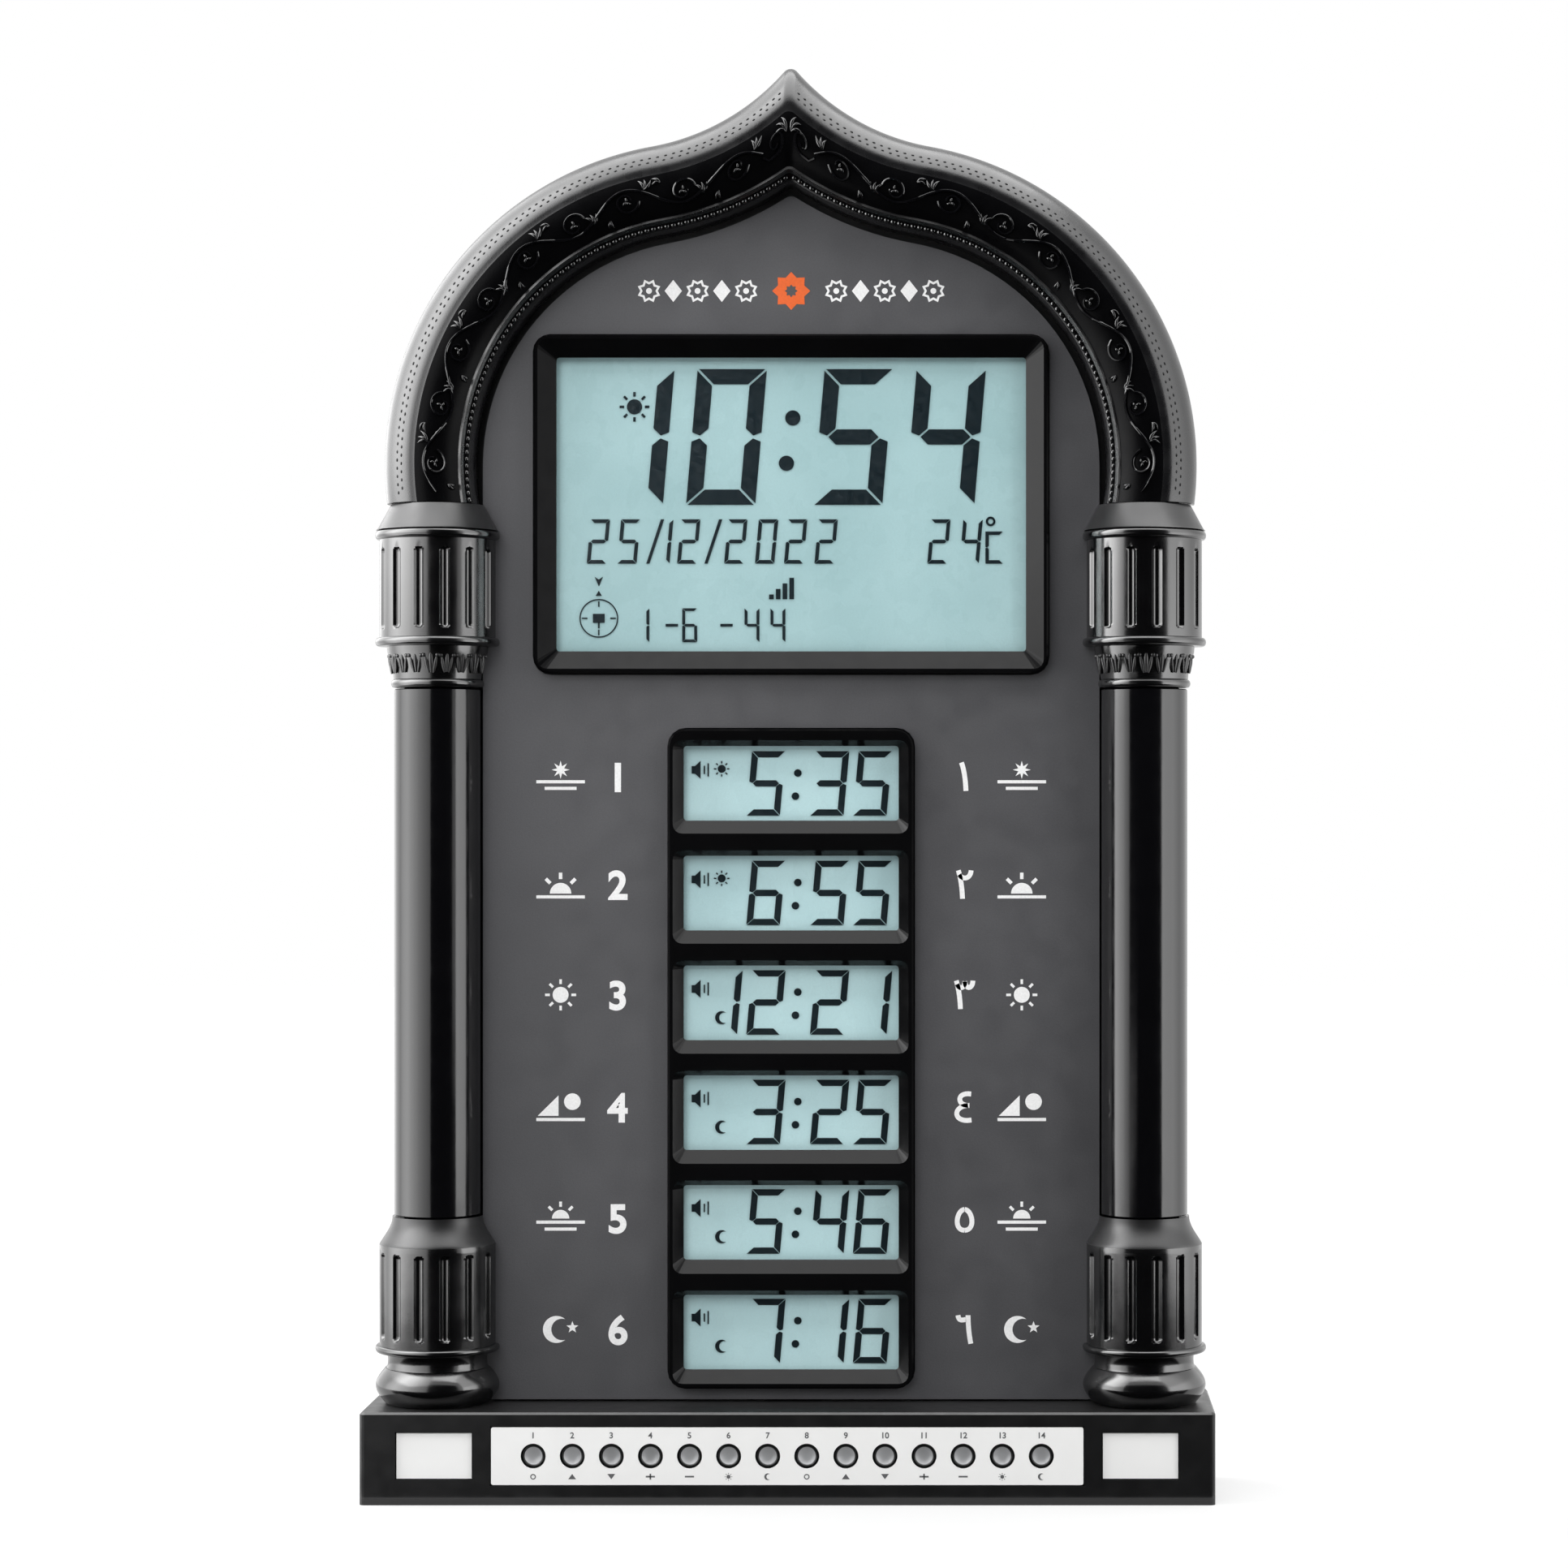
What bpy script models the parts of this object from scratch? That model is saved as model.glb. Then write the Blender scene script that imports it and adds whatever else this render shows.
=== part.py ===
"""Azan clock: a pointed-arch prayer clock with seven liquid-crystal displays.

Every size is in metres. The origin is the floor centre of the base, with +X to
the viewer's right, -Y towards the viewer and +Z up.
"""

import math

import bmesh
import bpy

# Fits, cuts and facets
GAP = 0.0003
OVERRUN = 0.002
WELD = 0.000001
SHARP_ANGLE = math.radians(38)
BORE_SIDES = 12
BOSS_SIDES = 8

# Widths: the small displays, with the cells beside them, set the case, the base and the panel
ROW_VIEW_WIDTH = 0.062
LCD_LAP = 0.0024
BOARD_BOSS_RADIUS = 0.0031
BOARD_MARGIN = 0.0042
ROW_BOSS_X = ROW_VIEW_WIDTH / 2 + LCD_LAP + GAP * 2 + BOARD_BOSS_RADIUS
ROW_PCB_WIDTH = (ROW_BOSS_X + BOARD_MARGIN) * 2
CELL_LENGTH = 0.0493
CELL_NUB_LENGTH = 0.0012
CONTACT_PLATE = 0.0005
CONTACT_SPRING_LENGTH = 0.0009
BAY_LENGTH = (
    CELL_LENGTH + CELL_NUB_LENGTH + CONTACT_PLATE * 2 + CONTACT_SPRING_LENGTH + GAP * 4
)
BAY_BOARD_CLEARANCE = 0.0026
BAY_INSET = 0.0145
CASE_HALF_WIDTH = ROW_PCB_WIDTH / 2 + BAY_BOARD_CLEARANCE + BAY_LENGTH + BAY_INSET
BASE_SHOULDER = 0.00925
BASE_WIDTH = (CASE_HALF_WIDTH + BASE_SHOULDER) * 2
CASE_REACH = 0.0102
COLUMN_X = CASE_HALF_WIDTH - CASE_REACH
NECK_RADIUS = 0.0129
PANEL_HALF_WIDTH = COLUMN_X - NECK_RADIUS
PANEL_MARGIN = 0.0147
MAIN_RIM = 0.0014
MAIN_SLOPE = 0.0051
MAIN_BEZEL_WIDTH = (PANEL_HALF_WIDTH - PANEL_MARGIN) * 2
MAIN_VIEW_WIDTH = MAIN_BEZEL_WIDTH - (MAIN_RIM + MAIN_SLOPE) * 2

# Depths: the cells under their hinged door set the case, and the case sets the base
CASE_WALL = 0.0022
BAY_CLEARANCE = 0.0014
BAY_FLOOR = 0.0012
CELL_RADIUS = 0.007
HINGE_RADIUS = 0.0012
DOOR_THICKNESS = 0.0018
DOOR_SINK = 0.0002
CASE_FRONT_Y = 0.0
CASE_BACK_Y = (
    CASE_FRONT_Y + CASE_WALL + BAY_CLEARANCE + BAY_FLOOR + CELL_RADIUS * 2 + GAP * 2
    + HINGE_RADIUS * 4 / 3 + DOOR_THICKNESS + DOOR_SINK
)

# Base box: the key board sets its height
BASE_DEPTH = CASE_BACK_Y * 2
BASE_WALL = 0.0022
KEY_PCB_HEIGHT = 0.0165
BASE_SPARE_HEIGHT = 0.0075
BASE_HEIGHT = BASE_WALL + KEY_PCB_HEIGHT + BASE_SPARE_HEIGHT
BASE_CORNER = 0.0015
BASE_EDGE = 0.0006
BASE_COVER_THICKNESS = 0.0028

# Case shells, split into front housing and rear cover
CASE_EDGE = 0.0016
FRONT_HOUSING_DEPTH = 0.010
CASE_FOOT_Z = BASE_HEIGHT + GAP

# Six small displays in one ladder frame
ROW_COUNT = 6
ROW_PITCH = 0.03165
ROW_VIEW_HEIGHT = 0.0215
ROW_RIM = 0.0015
ROW_SIDE_SLOPE = 0.0029
ROW_UPPER_SLOPE = 0.0016
ROW_LOWER_SLOPE = 0.0037
ROW_FOOT_CLEARANCE = 0.0037
ROW_BEZEL_WIDTH = ROW_VIEW_WIDTH + (ROW_RIM + ROW_SIDE_SLOPE) * 2
ROW_BEZEL_FOOT_Z = CASE_FOOT_Z + ROW_FOOT_CLEARANCE
ROW_FIRST_Z = ROW_BEZEL_FOOT_Z + ROW_RIM + ROW_LOWER_SLOPE + ROW_VIEW_HEIGHT / 2
ROW_BEZEL_TOP_Z = (
    ROW_FIRST_Z + ROW_PITCH * (ROW_COUNT - 1) + ROW_VIEW_HEIGHT / 2 + ROW_UPPER_SLOPE
    + ROW_RIM + ROW_LOWER_SLOPE / 2
)
ROW_BEZEL_CENTRE_Z = (ROW_BEZEL_FOOT_Z + ROW_BEZEL_TOP_Z) / 2
ROW_WINDOW_MARGIN = 0.0022

# Large display, above the small ones
DISPLAY_GAP = 0.01585
MAIN_VIEW_HEIGHT = 0.0847
MAIN_BEZEL_HEIGHT = MAIN_VIEW_HEIGHT + (MAIN_RIM + MAIN_SLOPE) * 2
MAIN_CENTRE_Z = ROW_BEZEL_TOP_Z + DISPLAY_GAP + MAIN_BEZEL_HEIGHT / 2

# Ogee arch: a main arc, a reverse arc that meets it, and a small rounded tip
ARCH_CENTRE_SHARE = 0.2655
ARCH_CENTRE_X = PANEL_HALF_WIDTH * ARCH_CENTRE_SHARE
PANEL_RADIUS = PANEL_HALF_WIDTH - ARCH_CENTRE_X
MAIN_RISE_SHARE = 0.578
ARCH_CENTRE_Z = MAIN_CENTRE_Z + MAIN_BEZEL_HEIGHT / 2 - PANEL_RADIUS * MAIN_RISE_SHARE
ARCH_STILT = 0.0112
ARCH_SPRING_Z = ARCH_CENTRE_Z - ARCH_STILT
ARCH_REACH = 0.0151
ARCH_OUTER_RADIUS = COLUMN_X + ARCH_REACH - ARCH_CENTRE_X
ARCH_BAND = 0.026
ARCH_WALL = 0.0024
ARCH_JOINT_ANGLE = math.radians(79.8)
ARCH_SPAN_SHARE = 1.7149
ARCH_CENTRE_SPAN = ARCH_OUTER_RADIUS * ARCH_SPAN_SHARE
ARCH_TIP_RADIUS = 0.0025
ARCH_STEPS = 22
REVERSE_STEPS = 9
TIP_STEPS = 3
BAND_STEPS = 8
BAND_INNER_STEPS = 5
CASE_RADIUS = CASE_HALF_WIDTH - ARCH_CENTRE_X

# Columns: radii, then the height of each band from the foot upwards
COLUMN_AXIS_Y = -0.003
COLUMN_SEAT_Y = CASE_FRONT_Y - GAP
COLUMN_BORE_RADIUS = 0.010
COLUMN_SIDES = 24
SHAFT_RADIUS = 0.0124
DRUM_RADIUS = 0.0166
LIP_RADIUS = 0.0178
WAIST_RADIUS = 0.0146
FOOT_RADIUS = 0.0177
FOOT_ROUND_SHARE = 0.55
NECK_TOP_RADIUS = 0.0145
ASTRAGAL_RADIUS = 0.0133
FLARE_TOP_RADIUS = 0.0133
FOOT_HEIGHT = 0.010
WAIST_HEIGHT = 0.0045
PEDESTAL_LIP_HEIGHT = 0.0021
PEDESTAL_DRUM_HEIGHT = 0.0289
BELL_HEIGHT = 0.008
ASTRAGAL_HEIGHT = 0.0024
NECK_HEIGHT = 0.0095
CAPITAL_LOWER_LIP_HEIGHT = 0.0026
CAPITAL_DRUM_HEIGHT = 0.0276
CAPITAL_UPPER_LIP_HEIGHT = 0.0031
FLARE_HEIGHT = 0.0074
PEDESTAL_TOP_Z = (
    CASE_FOOT_Z + FOOT_HEIGHT + WAIST_HEIGHT + PEDESTAL_LIP_HEIGHT
    + PEDESTAL_DRUM_HEIGHT + BELL_HEIGHT
)
SHAFT_FOOT_Z = PEDESTAL_TOP_Z + GAP
CAPITAL_TOP_Z = ARCH_SPRING_Z - GAP
CAPITAL_DRUM_Z = (
    CAPITAL_TOP_Z - FLARE_HEIGHT - CAPITAL_UPPER_LIP_HEIGHT - CAPITAL_DRUM_HEIGHT
)
CAPITAL_FOOT_Z = CAPITAL_DRUM_Z - CAPITAL_LOWER_LIP_HEIGHT - NECK_HEIGHT - ASTRAGAL_HEIGHT
SHAFT_HEIGHT = CAPITAL_FOOT_Z - GAP - SHAFT_FOOT_Z
PEDESTAL_DRUM_Z = CASE_FOOT_Z + FOOT_HEIGHT + WAIST_HEIGHT + PEDESTAL_LIP_HEIGHT

# Flutes: round-ended slots round each drum
FLUTE_WIDTH = 0.0026
FLUTE_DEPTH = 0.0011
FLUTE_MARGIN = 0.0022
FLUTE_ANGLES = [math.radians(angle) for angle in (-70, -42, -14, 14, 42, 70)]
FLUTE_END_STEPS = 3

# Face sheet
PANEL_THICKNESS = 0.002
PANEL_BACK_Y = CASE_FRONT_Y - GAP
PANEL_FRONT_Y = PANEL_BACK_Y - PANEL_THICKNESS

# Display stack, from the viewer inwards
BEZEL_HEIGHT = 0.0052
BEZEL_EDGE = 0.0006
BEZEL_BACK_Y = CASE_FRONT_Y - GAP
BEZEL_FRONT_Y = BEZEL_BACK_Y - BEZEL_HEIGHT
BEZEL_CORNER = 0.005
WINDOW_CORNER = 0.0009
WINDOW_THICKNESS = 0.0015
WINDOW_BACK_Y = BEZEL_BACK_Y
WINDOW_FRONT_Y = WINDOW_BACK_Y - WINDOW_THICKNESS
BEZEL_SEAT_Y = WINDOW_FRONT_Y - GAP
BEZEL_LAND = 0.0005
WINDOW_LAP = 0.0016
LCD_THICKNESS = 0.0028
LCD_FRONT_Y = WINDOW_BACK_Y + GAP
LCD_BACK_Y = LCD_FRONT_Y + LCD_THICKNESS
BACKLIGHT_THICKNESS = 0.003
BACKLIGHT_FRONT_Y = LCD_BACK_Y + GAP
BACKLIGHT_BACK_Y = BACKLIGHT_FRONT_Y + BACKLIGHT_THICKNESS
PCB_THICKNESS = 0.0016
PCB_FRONT_Y = BACKLIGHT_BACK_Y + GAP
PCB_BACK_Y = PCB_FRONT_Y + PCB_THICKNESS
CORNER_STEPS = 4

# Boards and the bosses that carry them
MAIN_BOSS_X = MAIN_VIEW_WIDTH / 2 + LCD_LAP + GAP * 2 + BOARD_BOSS_RADIUS + BOARD_MARGIN / 3
MAIN_BOSS_Z = MAIN_VIEW_HEIGHT / 2 + BOARD_MARGIN
ROW_BOSS_Z = ROW_PITCH * (ROW_COUNT - 1) / 2
MAIN_PCB_WIDTH = (MAIN_BOSS_X + BOARD_MARGIN) * 2
MAIN_PCB_HEIGHT = (MAIN_BOSS_Z + BOARD_MARGIN) * 2
ROW_PCB_HEIGHT = ROW_PITCH * (ROW_COUNT - 1) + ROW_VIEW_HEIGHT + LCD_LAP * 2 + BOARD_MARGIN
ROW_MIDDLE_Z = ROW_FIRST_Z + ROW_PITCH * (ROW_COUNT - 1) / 2

# Heat stakes and pegs, moulded on the shells
STAKE_RADIUS = 0.0011
STAKE_HEAD_RADIUS = 0.0021
STAKE_HEAD_HEIGHT = 0.001
PEG_RADIUS = 0.0016
PEG_LENGTH = 0.0055
PEG_SPARE = 0.0008
TIE_X = 0.052
TIE_Y = CASE_WALL + BOARD_BOSS_RADIUS
TIE_PEG_LENGTH = 0.0045
COVER_BOSS_INSET_X = 0.0095
COVER_BOSS_INSET_Y = 0.0088

# Screws that close the case
SCREW_SHANK_RADIUS = 0.0014
SCREW_HEAD_RADIUS = 0.0027
SCREW_HEAD_HEIGHT = 0.0015
SCREW_LENGTH = 0.0165
SCREW_SPARE = 0.0008
BOSS_WALL = 0.0017
CASE_BOSS_RADIUS = SCREW_SHANK_RADIUS + GAP + BOSS_WALL
CASE_BOSS_X = CASE_HALF_WIDTH - CASE_WALL - SCREW_HEAD_RADIUS
CASE_BOSS_RISE = 0.014
CASE_BOSS_ANGLE = math.radians(45)

# White strip round the keys and the two plain inlays
STRIP_MARGIN = 0.03745
STRIP_WIDTH = BASE_WIDTH - STRIP_MARGIN * 2
STRIP_HEIGHT = 0.0163
STRIP_THICKNESS = 0.0006
INLAY_MARGIN = 0.02125
INLAY_X = BASE_WIDTH / 2 - INLAY_MARGIN
INLAY_WIDTH = 0.0213
INLAY_HEIGHT = 0.0129
INLAY_THICKNESS = 0.0006
INLAY_RECESS = 0.0006

# Push keys
KEY_COUNT = 14
KEY_PITCH_SHARE = 0.066
KEY_PITCH = STRIP_WIDTH * KEY_PITCH_SHARE
KEY_LIFT = 0.0008
KEY_Z = BASE_HEIGHT / 2 + KEY_LIFT
KEY_HOLE_RADIUS = 0.00355
KEY_CAP_RADIUS = 0.00315
KEY_RECESS = 0.0007
KEY_TRAVEL = 0.001
KEY_FLANGE_RADIUS = 0.0045
KEY_FLANGE_THICKNESS = 0.001
KEY_STEM_RADIUS = 0.0018
KEY_STEM_LENGTH = 0.0042
KEY_SIDES = 12

# Silicone mat and key board, stacked behind the base's front wall
BASE_FRONT_Y = -BASE_DEPTH / 2
BASE_INNER_FRONT_Y = BASE_FRONT_Y + BASE_WALL
KEY_FLANGE_Y = BASE_INNER_FRONT_Y + GAP
KEY_STEM_END_Y = KEY_FLANGE_Y + KEY_FLANGE_THICKNESS + KEY_STEM_LENGTH
COLLAR_WALL = 0.0012
COLLAR_LAP = 0.002
MAT_THICKNESS = 0.0012
MAT_HEIGHT = 0.012
MAT_FRONT_Y = KEY_STEM_END_Y + KEY_TRAVEL + GAP
MAT_BACK_Y = MAT_FRONT_Y + MAT_THICKNESS
COLLAR_FRONT_Y = KEY_STEM_END_Y - COLLAR_LAP
KEY_PCB_FRONT_Y = MAT_BACK_Y + GAP
KEY_PCB_BACK_Y = KEY_PCB_FRONT_Y + PCB_THICKNESS
KEY_BOSS_X = STRIP_WIDTH / 2 + BOARD_BOSS_RADIUS + GAP
KEY_PCB_HALF_WIDTH = KEY_BOSS_X + BOARD_MARGIN

# Loudspeaker, facing the grille in the rear cover
SPEAKER_INSET = 0.040
SPEAKER_X = CASE_HALF_WIDTH - SPEAKER_INSET
SPEAKER_Z = 0.0853
SPEAKER_RADIUS = 0.025
SPEAKER_RIM = 0.0024
SPEAKER_RIM_THICKNESS = 0.0022
SPEAKER_WALL = 0.0012
SPEAKER_DEPTH = 0.010
SPEAKER_NECK_RADIUS = 0.011
SPEAKER_DOME_RADIUS = 0.0062
CONE_DEPTH_SHARE = 0.62
SPEAKER_SIDES = 16
MAGNET_RADIUS = 0.0125
MAGNET_THICKNESS = 0.0045
SPEAKER_SOCKET_HEIGHT = 0.0032
SPEAKER_SOCKET_WALL = 0.0015
GRILLE_SLOTS = 7
GRILLE_PITCH = 0.0052
GRILLE_SLOT_WIDTH = 0.0022

# Battery bay in the rear cover: two cells side by side under a hinged door
CELL_NUB_RADIUS = 0.0027
CELL_SIDES = 12
CONTACT_SPRING_RADIUS = 0.0034
CONTACT_WIDTH = 0.009
BAY_OUTER_X = BAY_INSET - CASE_HALF_WIDTH
BAY_WALL = 0.002
BAY_CENTRE_Z = SPEAKER_Z
BAY_HEIGHT = CELL_RADIUS * 4 + GAP * 3
BAY_INNER_X = BAY_OUTER_X + BAY_LENGTH
CASE_INNER_BACK_Y = CASE_BACK_Y - CASE_WALL
HINGE_PIN_RADIUS = 0.0007
HINGE_PIN_LENGTH = 0.001
DOOR_FRONT_Y = CASE_BACK_Y - DOOR_SINK - DOOR_THICKNESS
HINGE_Y = DOOR_FRONT_Y - HINGE_RADIUS / 3
DOOR_SWEEP = CASE_BACK_Y - DOOR_SINK - HINGE_Y
HINGE_X = BAY_OUTER_X + DOOR_SWEEP + GAP
DOOR_LEDGE = 0.0012
DOOR_END_X = BAY_INNER_X + DOOR_LEDGE
DOOR_HEIGHT = BAY_HEIGHT - GAP * 2
CELL_Y = HINGE_Y - HINGE_RADIUS - GAP - CELL_RADIUS
BAY_FLOOR_Y = CELL_Y - CELL_RADIUS - GAP

# Power inlet
JACK_OFFSET = 0.012
JACK_X = SPEAKER_X - JACK_OFFSET
JACK_Z = 0.042
JACK_RADIUS = 0.0041
JACK_BORE_RADIUS = 0.0029
JACK_PIN_RADIUS = 0.001
JACK_BORE_DEPTH = 0.0085
JACK_LENGTH = 0.0115
JACK_SIDES = 12
JACK_FLANGE = 0.0013
JACK_FLANGE_THICKNESS = 0.002
JACK_PIN_SINK = 0.0015

# Hanging keyhole
KEYHOLE_LIFT = 0.056
KEYHOLE_Z = ARCH_CENTRE_Z + KEYHOLE_LIFT
KEYHOLE_HEAD_RADIUS = 0.0047
KEYHOLE_SLOT_WIDTH = 0.0048
KEYHOLE_RISE = 0.0105

# Flat cable
RIBBON_WIDTH = 0.016
RIBBON_THICKNESS = 0.0008
RIBBON_SLOT_MARGIN = 0.001
RIBBON_DROP_Y = 0.0132
RIBBON_LAP = 0.013
RIBBON_SAG_Z = 0.0085
RIBBON_STEPS = 3


def linear(hex_colour):
    """Linear RGBA of an sRGB hex colour such as "1b1b1b"."""
    channels = [int(hex_colour[index:index + 2], 16) / 255 for index in (0, 2, 4)]
    return [
        channel / 12.92 if channel <= 0.04045 else ((channel + 0.055) / 1.055) ** 2.4
        for channel in channels
    ] + [1.0]


def material(name, hex_colour, roughness, metallic=0.0):
    """One Principled material."""
    made = bpy.data.materials.new(name)
    made.use_nodes = True
    shader = made.node_tree.nodes["Principled BSDF"]
    shader.inputs["Base Color"].default_value = linear(hex_colour)
    shader.inputs["Roughness"].default_value = roughness
    shader.inputs["Metallic"].default_value = metallic
    made.diffuse_color = linear(hex_colour)
    return made


def add_object(name, mesh_data, finish, place=(0.0, 0.0, 0.0)):
    """Turn a bmesh, written about its own origin, into a named object."""
    bmesh.ops.remove_doubles(mesh_data, verts=mesh_data.verts, dist=WELD)
    bmesh.ops.recalc_face_normals(mesh_data, faces=mesh_data.faces)
    mesh = bpy.data.meshes.new(name)
    mesh_data.to_mesh(mesh)
    mesh_data.free()
    mesh.shade_smooth()
    mesh.set_sharp_from_angle(angle=SHARP_ANGLE)
    if finish is not None:
        mesh.materials.append(finish)
    made = bpy.data.objects.new(name, mesh)
    made.location = place
    bpy.context.collection.objects.link(made)
    return made


def shape(target, tool, operation):
    """Cut a tool out of a target, or join it on, and hide the tool."""
    modifier = target.modifiers.new(tool.name, "BOOLEAN")
    modifier.object = tool
    modifier.operation = operation
    tool.hide_render = True
    tool.display_type = "WIRE"


def cut(target, name, mesh_data):
    """Cut the solids of a bmesh out of a target."""
    shape(target, add_object(name, mesh_data, None), "DIFFERENCE")


def join(target, name, mesh_data):
    """Join the solids of a bmesh to a target."""
    shape(target, add_object(name, mesh_data, None), "UNION")


def add_loft(mesh_data, loops, ring=False):
    """Skin matching loops of points; a ring returns to its first loop."""
    rows = [[mesh_data.verts.new(point) for point in loop] for loop in loops]
    count = len(rows[0])
    pairs = list(zip(rows, rows[1:]))
    if ring:
        pairs.append((rows[-1], rows[0]))
    else:
        mesh_data.faces.new(rows[0])
        mesh_data.faces.new(list(reversed(rows[-1])))
    for lower, upper in pairs:
        for index in range(count):
            following = (index + 1) % count
            mesh_data.faces.new(
                (lower[index], upper[index], upper[following], lower[following])
            )


def add_box(mesh_data, x_range, y_range, z_range):
    """Add a box between three pairs of limits."""
    corners = ((0, 0), (1, 0), (1, 1), (0, 1))
    loops = [
        [(x_range[i], y_range[j], z) for i, j in corners]
        for z in z_range
    ]
    add_loft(mesh_data, loops)


def add_prism(mesh_data, outline, y_front, y_back):
    """Extrude an outline of (x, z) points along Y."""
    add_loft(mesh_data, [[(x, y, z) for x, z in outline] for y in (y_front, y_back)])


def circle(radius, sides):
    """Points round a circle, as pairs."""
    step = math.tau / sides
    return [
        (radius * math.cos(step * (index + 0.5)), radius * math.sin(step * (index + 0.5)))
        for index in range(sides)
    ]


def add_turned(mesh_data, profile, sides, centre, axis="Y"):
    """Turn (radius, distance) pairs about an axis; a radius of zero closes an end."""
    rows = []
    for radius, along in profile:
        pairs = circle(radius, sides) if radius > 0 else [(0.0, 0.0)]
        row = []
        for across, up in pairs:
            if axis == "Y":
                point = (centre[0] + across, centre[1] + along, centre[2] + up)
            elif axis == "Z":
                point = (centre[0] + across, centre[1] + up, centre[2] + along)
            else:
                point = (centre[0] + along, centre[1] + across, centre[2] + up)
            row.append(mesh_data.verts.new(point))
        rows.append(row)
    for lower, upper in zip(rows, rows[1:]):
        for index in range(sides):
            following = (index + 1) % sides
            if len(lower) == 1:
                mesh_data.faces.new((lower[0], upper[index], upper[following]))
            elif len(upper) == 1:
                mesh_data.faces.new((lower[index], upper[0], lower[following]))
            else:
                mesh_data.faces.new(
                    (lower[index], upper[index], upper[following], lower[following])
                )


def add_cylinder(mesh_data, radius, sides, centre, start, end, axis="Y"):
    """Add a closed cylinder between two distances along an axis."""
    profile = [(0.0, start), (radius, start), (radius, end), (0.0, end)]
    add_turned(mesh_data, profile, sides, centre, axis)


def rounded_rectangle(width, height, corner, centre=(0.0, 0.0)):
    """Outline of a rectangle with rounded corners, as pairs."""
    points = []
    quarter = math.pi / 2
    for turn, (side_x, side_z) in enumerate(((1, 1), (-1, 1), (-1, -1), (1, -1))):
        middle_x = centre[0] + side_x * (width / 2 - corner)
        middle_z = centre[1] + side_z * (height / 2 - corner)
        for step in range(CORNER_STEPS + 1):
            angle = quarter * (turn + step / CORNER_STEPS)
            points.append(
                (middle_x + corner * math.cos(angle), middle_z + corner * math.sin(angle))
            )
    return points


def rectangle(width, height, centre=(0.0, 0.0)):
    """Outline of a plain rectangle, as pairs."""
    return [
        (centre[0] + side_x * width / 2, centre[1] + side_z * height / 2)
        for side_x, side_z in ((1, 1), (-1, 1), (-1, -1), (1, -1))
    ]


def slot_outline(width, height, centre, steps):
    """Outline of an upright slot with round ends, as pairs."""
    radius = width / 2
    points = []
    for side in (1, -1):
        middle_z = centre[1] + side * (height / 2 - radius)
        for step in range(steps + 1):
            angle = math.pi * step / steps + (0.0 if side > 0 else math.pi)
            points.append(
                (centre[0] + radius * math.cos(angle), middle_z + radius * math.sin(angle))
            )
    return points


def arch_curve(radius, start_z):
    """Right half of an ogee arch as (x, z) pairs, from start_z up to the tip."""
    start = math.asin((start_z - ARCH_CENTRE_Z) / radius)
    points = []
    for step in range(ARCH_STEPS + 1):
        angle = start + (ARCH_JOINT_ANGLE - start) * step / ARCH_STEPS
        points.append(
            (ARCH_CENTRE_X + radius * math.cos(angle), ARCH_CENTRE_Z + radius * math.sin(angle))
        )
    reverse_x = ARCH_CENTRE_X + ARCH_CENTRE_SPAN * math.cos(ARCH_JOINT_ANGLE)
    reverse_z = ARCH_CENTRE_Z + ARCH_CENTRE_SPAN * math.sin(ARCH_JOINT_ANGLE)
    reverse_radius = ARCH_CENTRE_SPAN - radius
    drop = math.sqrt((reverse_radius + ARCH_TIP_RADIUS) ** 2 - reverse_x ** 2)
    first = ARCH_JOINT_ANGLE - math.pi
    meeting = math.atan2(-drop, -reverse_x)
    for step in range(1, REVERSE_STEPS + 1):
        angle = first + (meeting - first) * step / REVERSE_STEPS
        points.append(
            (reverse_x + reverse_radius * math.cos(angle),
             reverse_z + reverse_radius * math.sin(angle))
        )
    tip_z = reverse_z - drop
    upright = math.pi / 2
    for step in range(1, TIP_STEPS + 1):
        angle = meeting + math.pi + (upright - meeting - math.pi) * step / TIP_STEPS
        points.append(
            (ARCH_TIP_RADIUS * math.cos(angle), tip_z + ARCH_TIP_RADIUS * math.sin(angle))
        )
    points[-1] = (0.0, points[-1][1])
    return points


def mirrored(half):
    """Whole left-to-right outline from a right half that ends on the middle line."""
    return half + [(-x, z) for x, z in reversed(half[:-1])]


def case_outline(inset):
    """Outline of the case, straight below and an ogee arch above."""
    radius = CASE_RADIUS - inset
    foot = (ARCH_CENTRE_X + radius, CASE_FOOT_Z + inset)
    return mirrored([foot] + arch_curve(radius, ARCH_CENTRE_Z))


def column_cutters(name, target, centre_x, foot_z, top_z, closed_foot, closed_top):
    """Flatten the back of a turned column piece and hollow it from behind."""
    back = bmesh.new()
    add_box(
        back,
        (centre_x - FOOT_RADIUS * 2, centre_x + FOOT_RADIUS * 2),
        (COLUMN_SEAT_Y, COLUMN_SEAT_Y + FOOT_RADIUS * 2),
        (foot_z - OVERRUN, top_z + OVERRUN),
    )
    cut(target, name + "_back", back)
    side = math.copysign(1, centre_x)
    rebate = bmesh.new()
    add_box(
        rebate,
        sorted((side * (PANEL_HALF_WIDTH - FOOT_RADIUS), side * (PANEL_HALF_WIDTH + GAP))),
        (PANEL_FRONT_Y - GAP, COLUMN_SEAT_Y + OVERRUN),
        (foot_z - OVERRUN, top_z + OVERRUN),
    )
    cut(target, name + "_rebate", rebate)
    start = foot_z + ARCH_WALL if closed_foot else foot_z - OVERRUN
    end = top_z - ARCH_WALL if closed_top else top_z + OVERRUN
    bore = bmesh.new()
    add_cylinder(
        bore, COLUMN_BORE_RADIUS, BORE_SIDES, (centre_x, COLUMN_AXIS_Y, 0.0), start, end, "Z"
    )
    cut(target, name + "_bore", bore)


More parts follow.
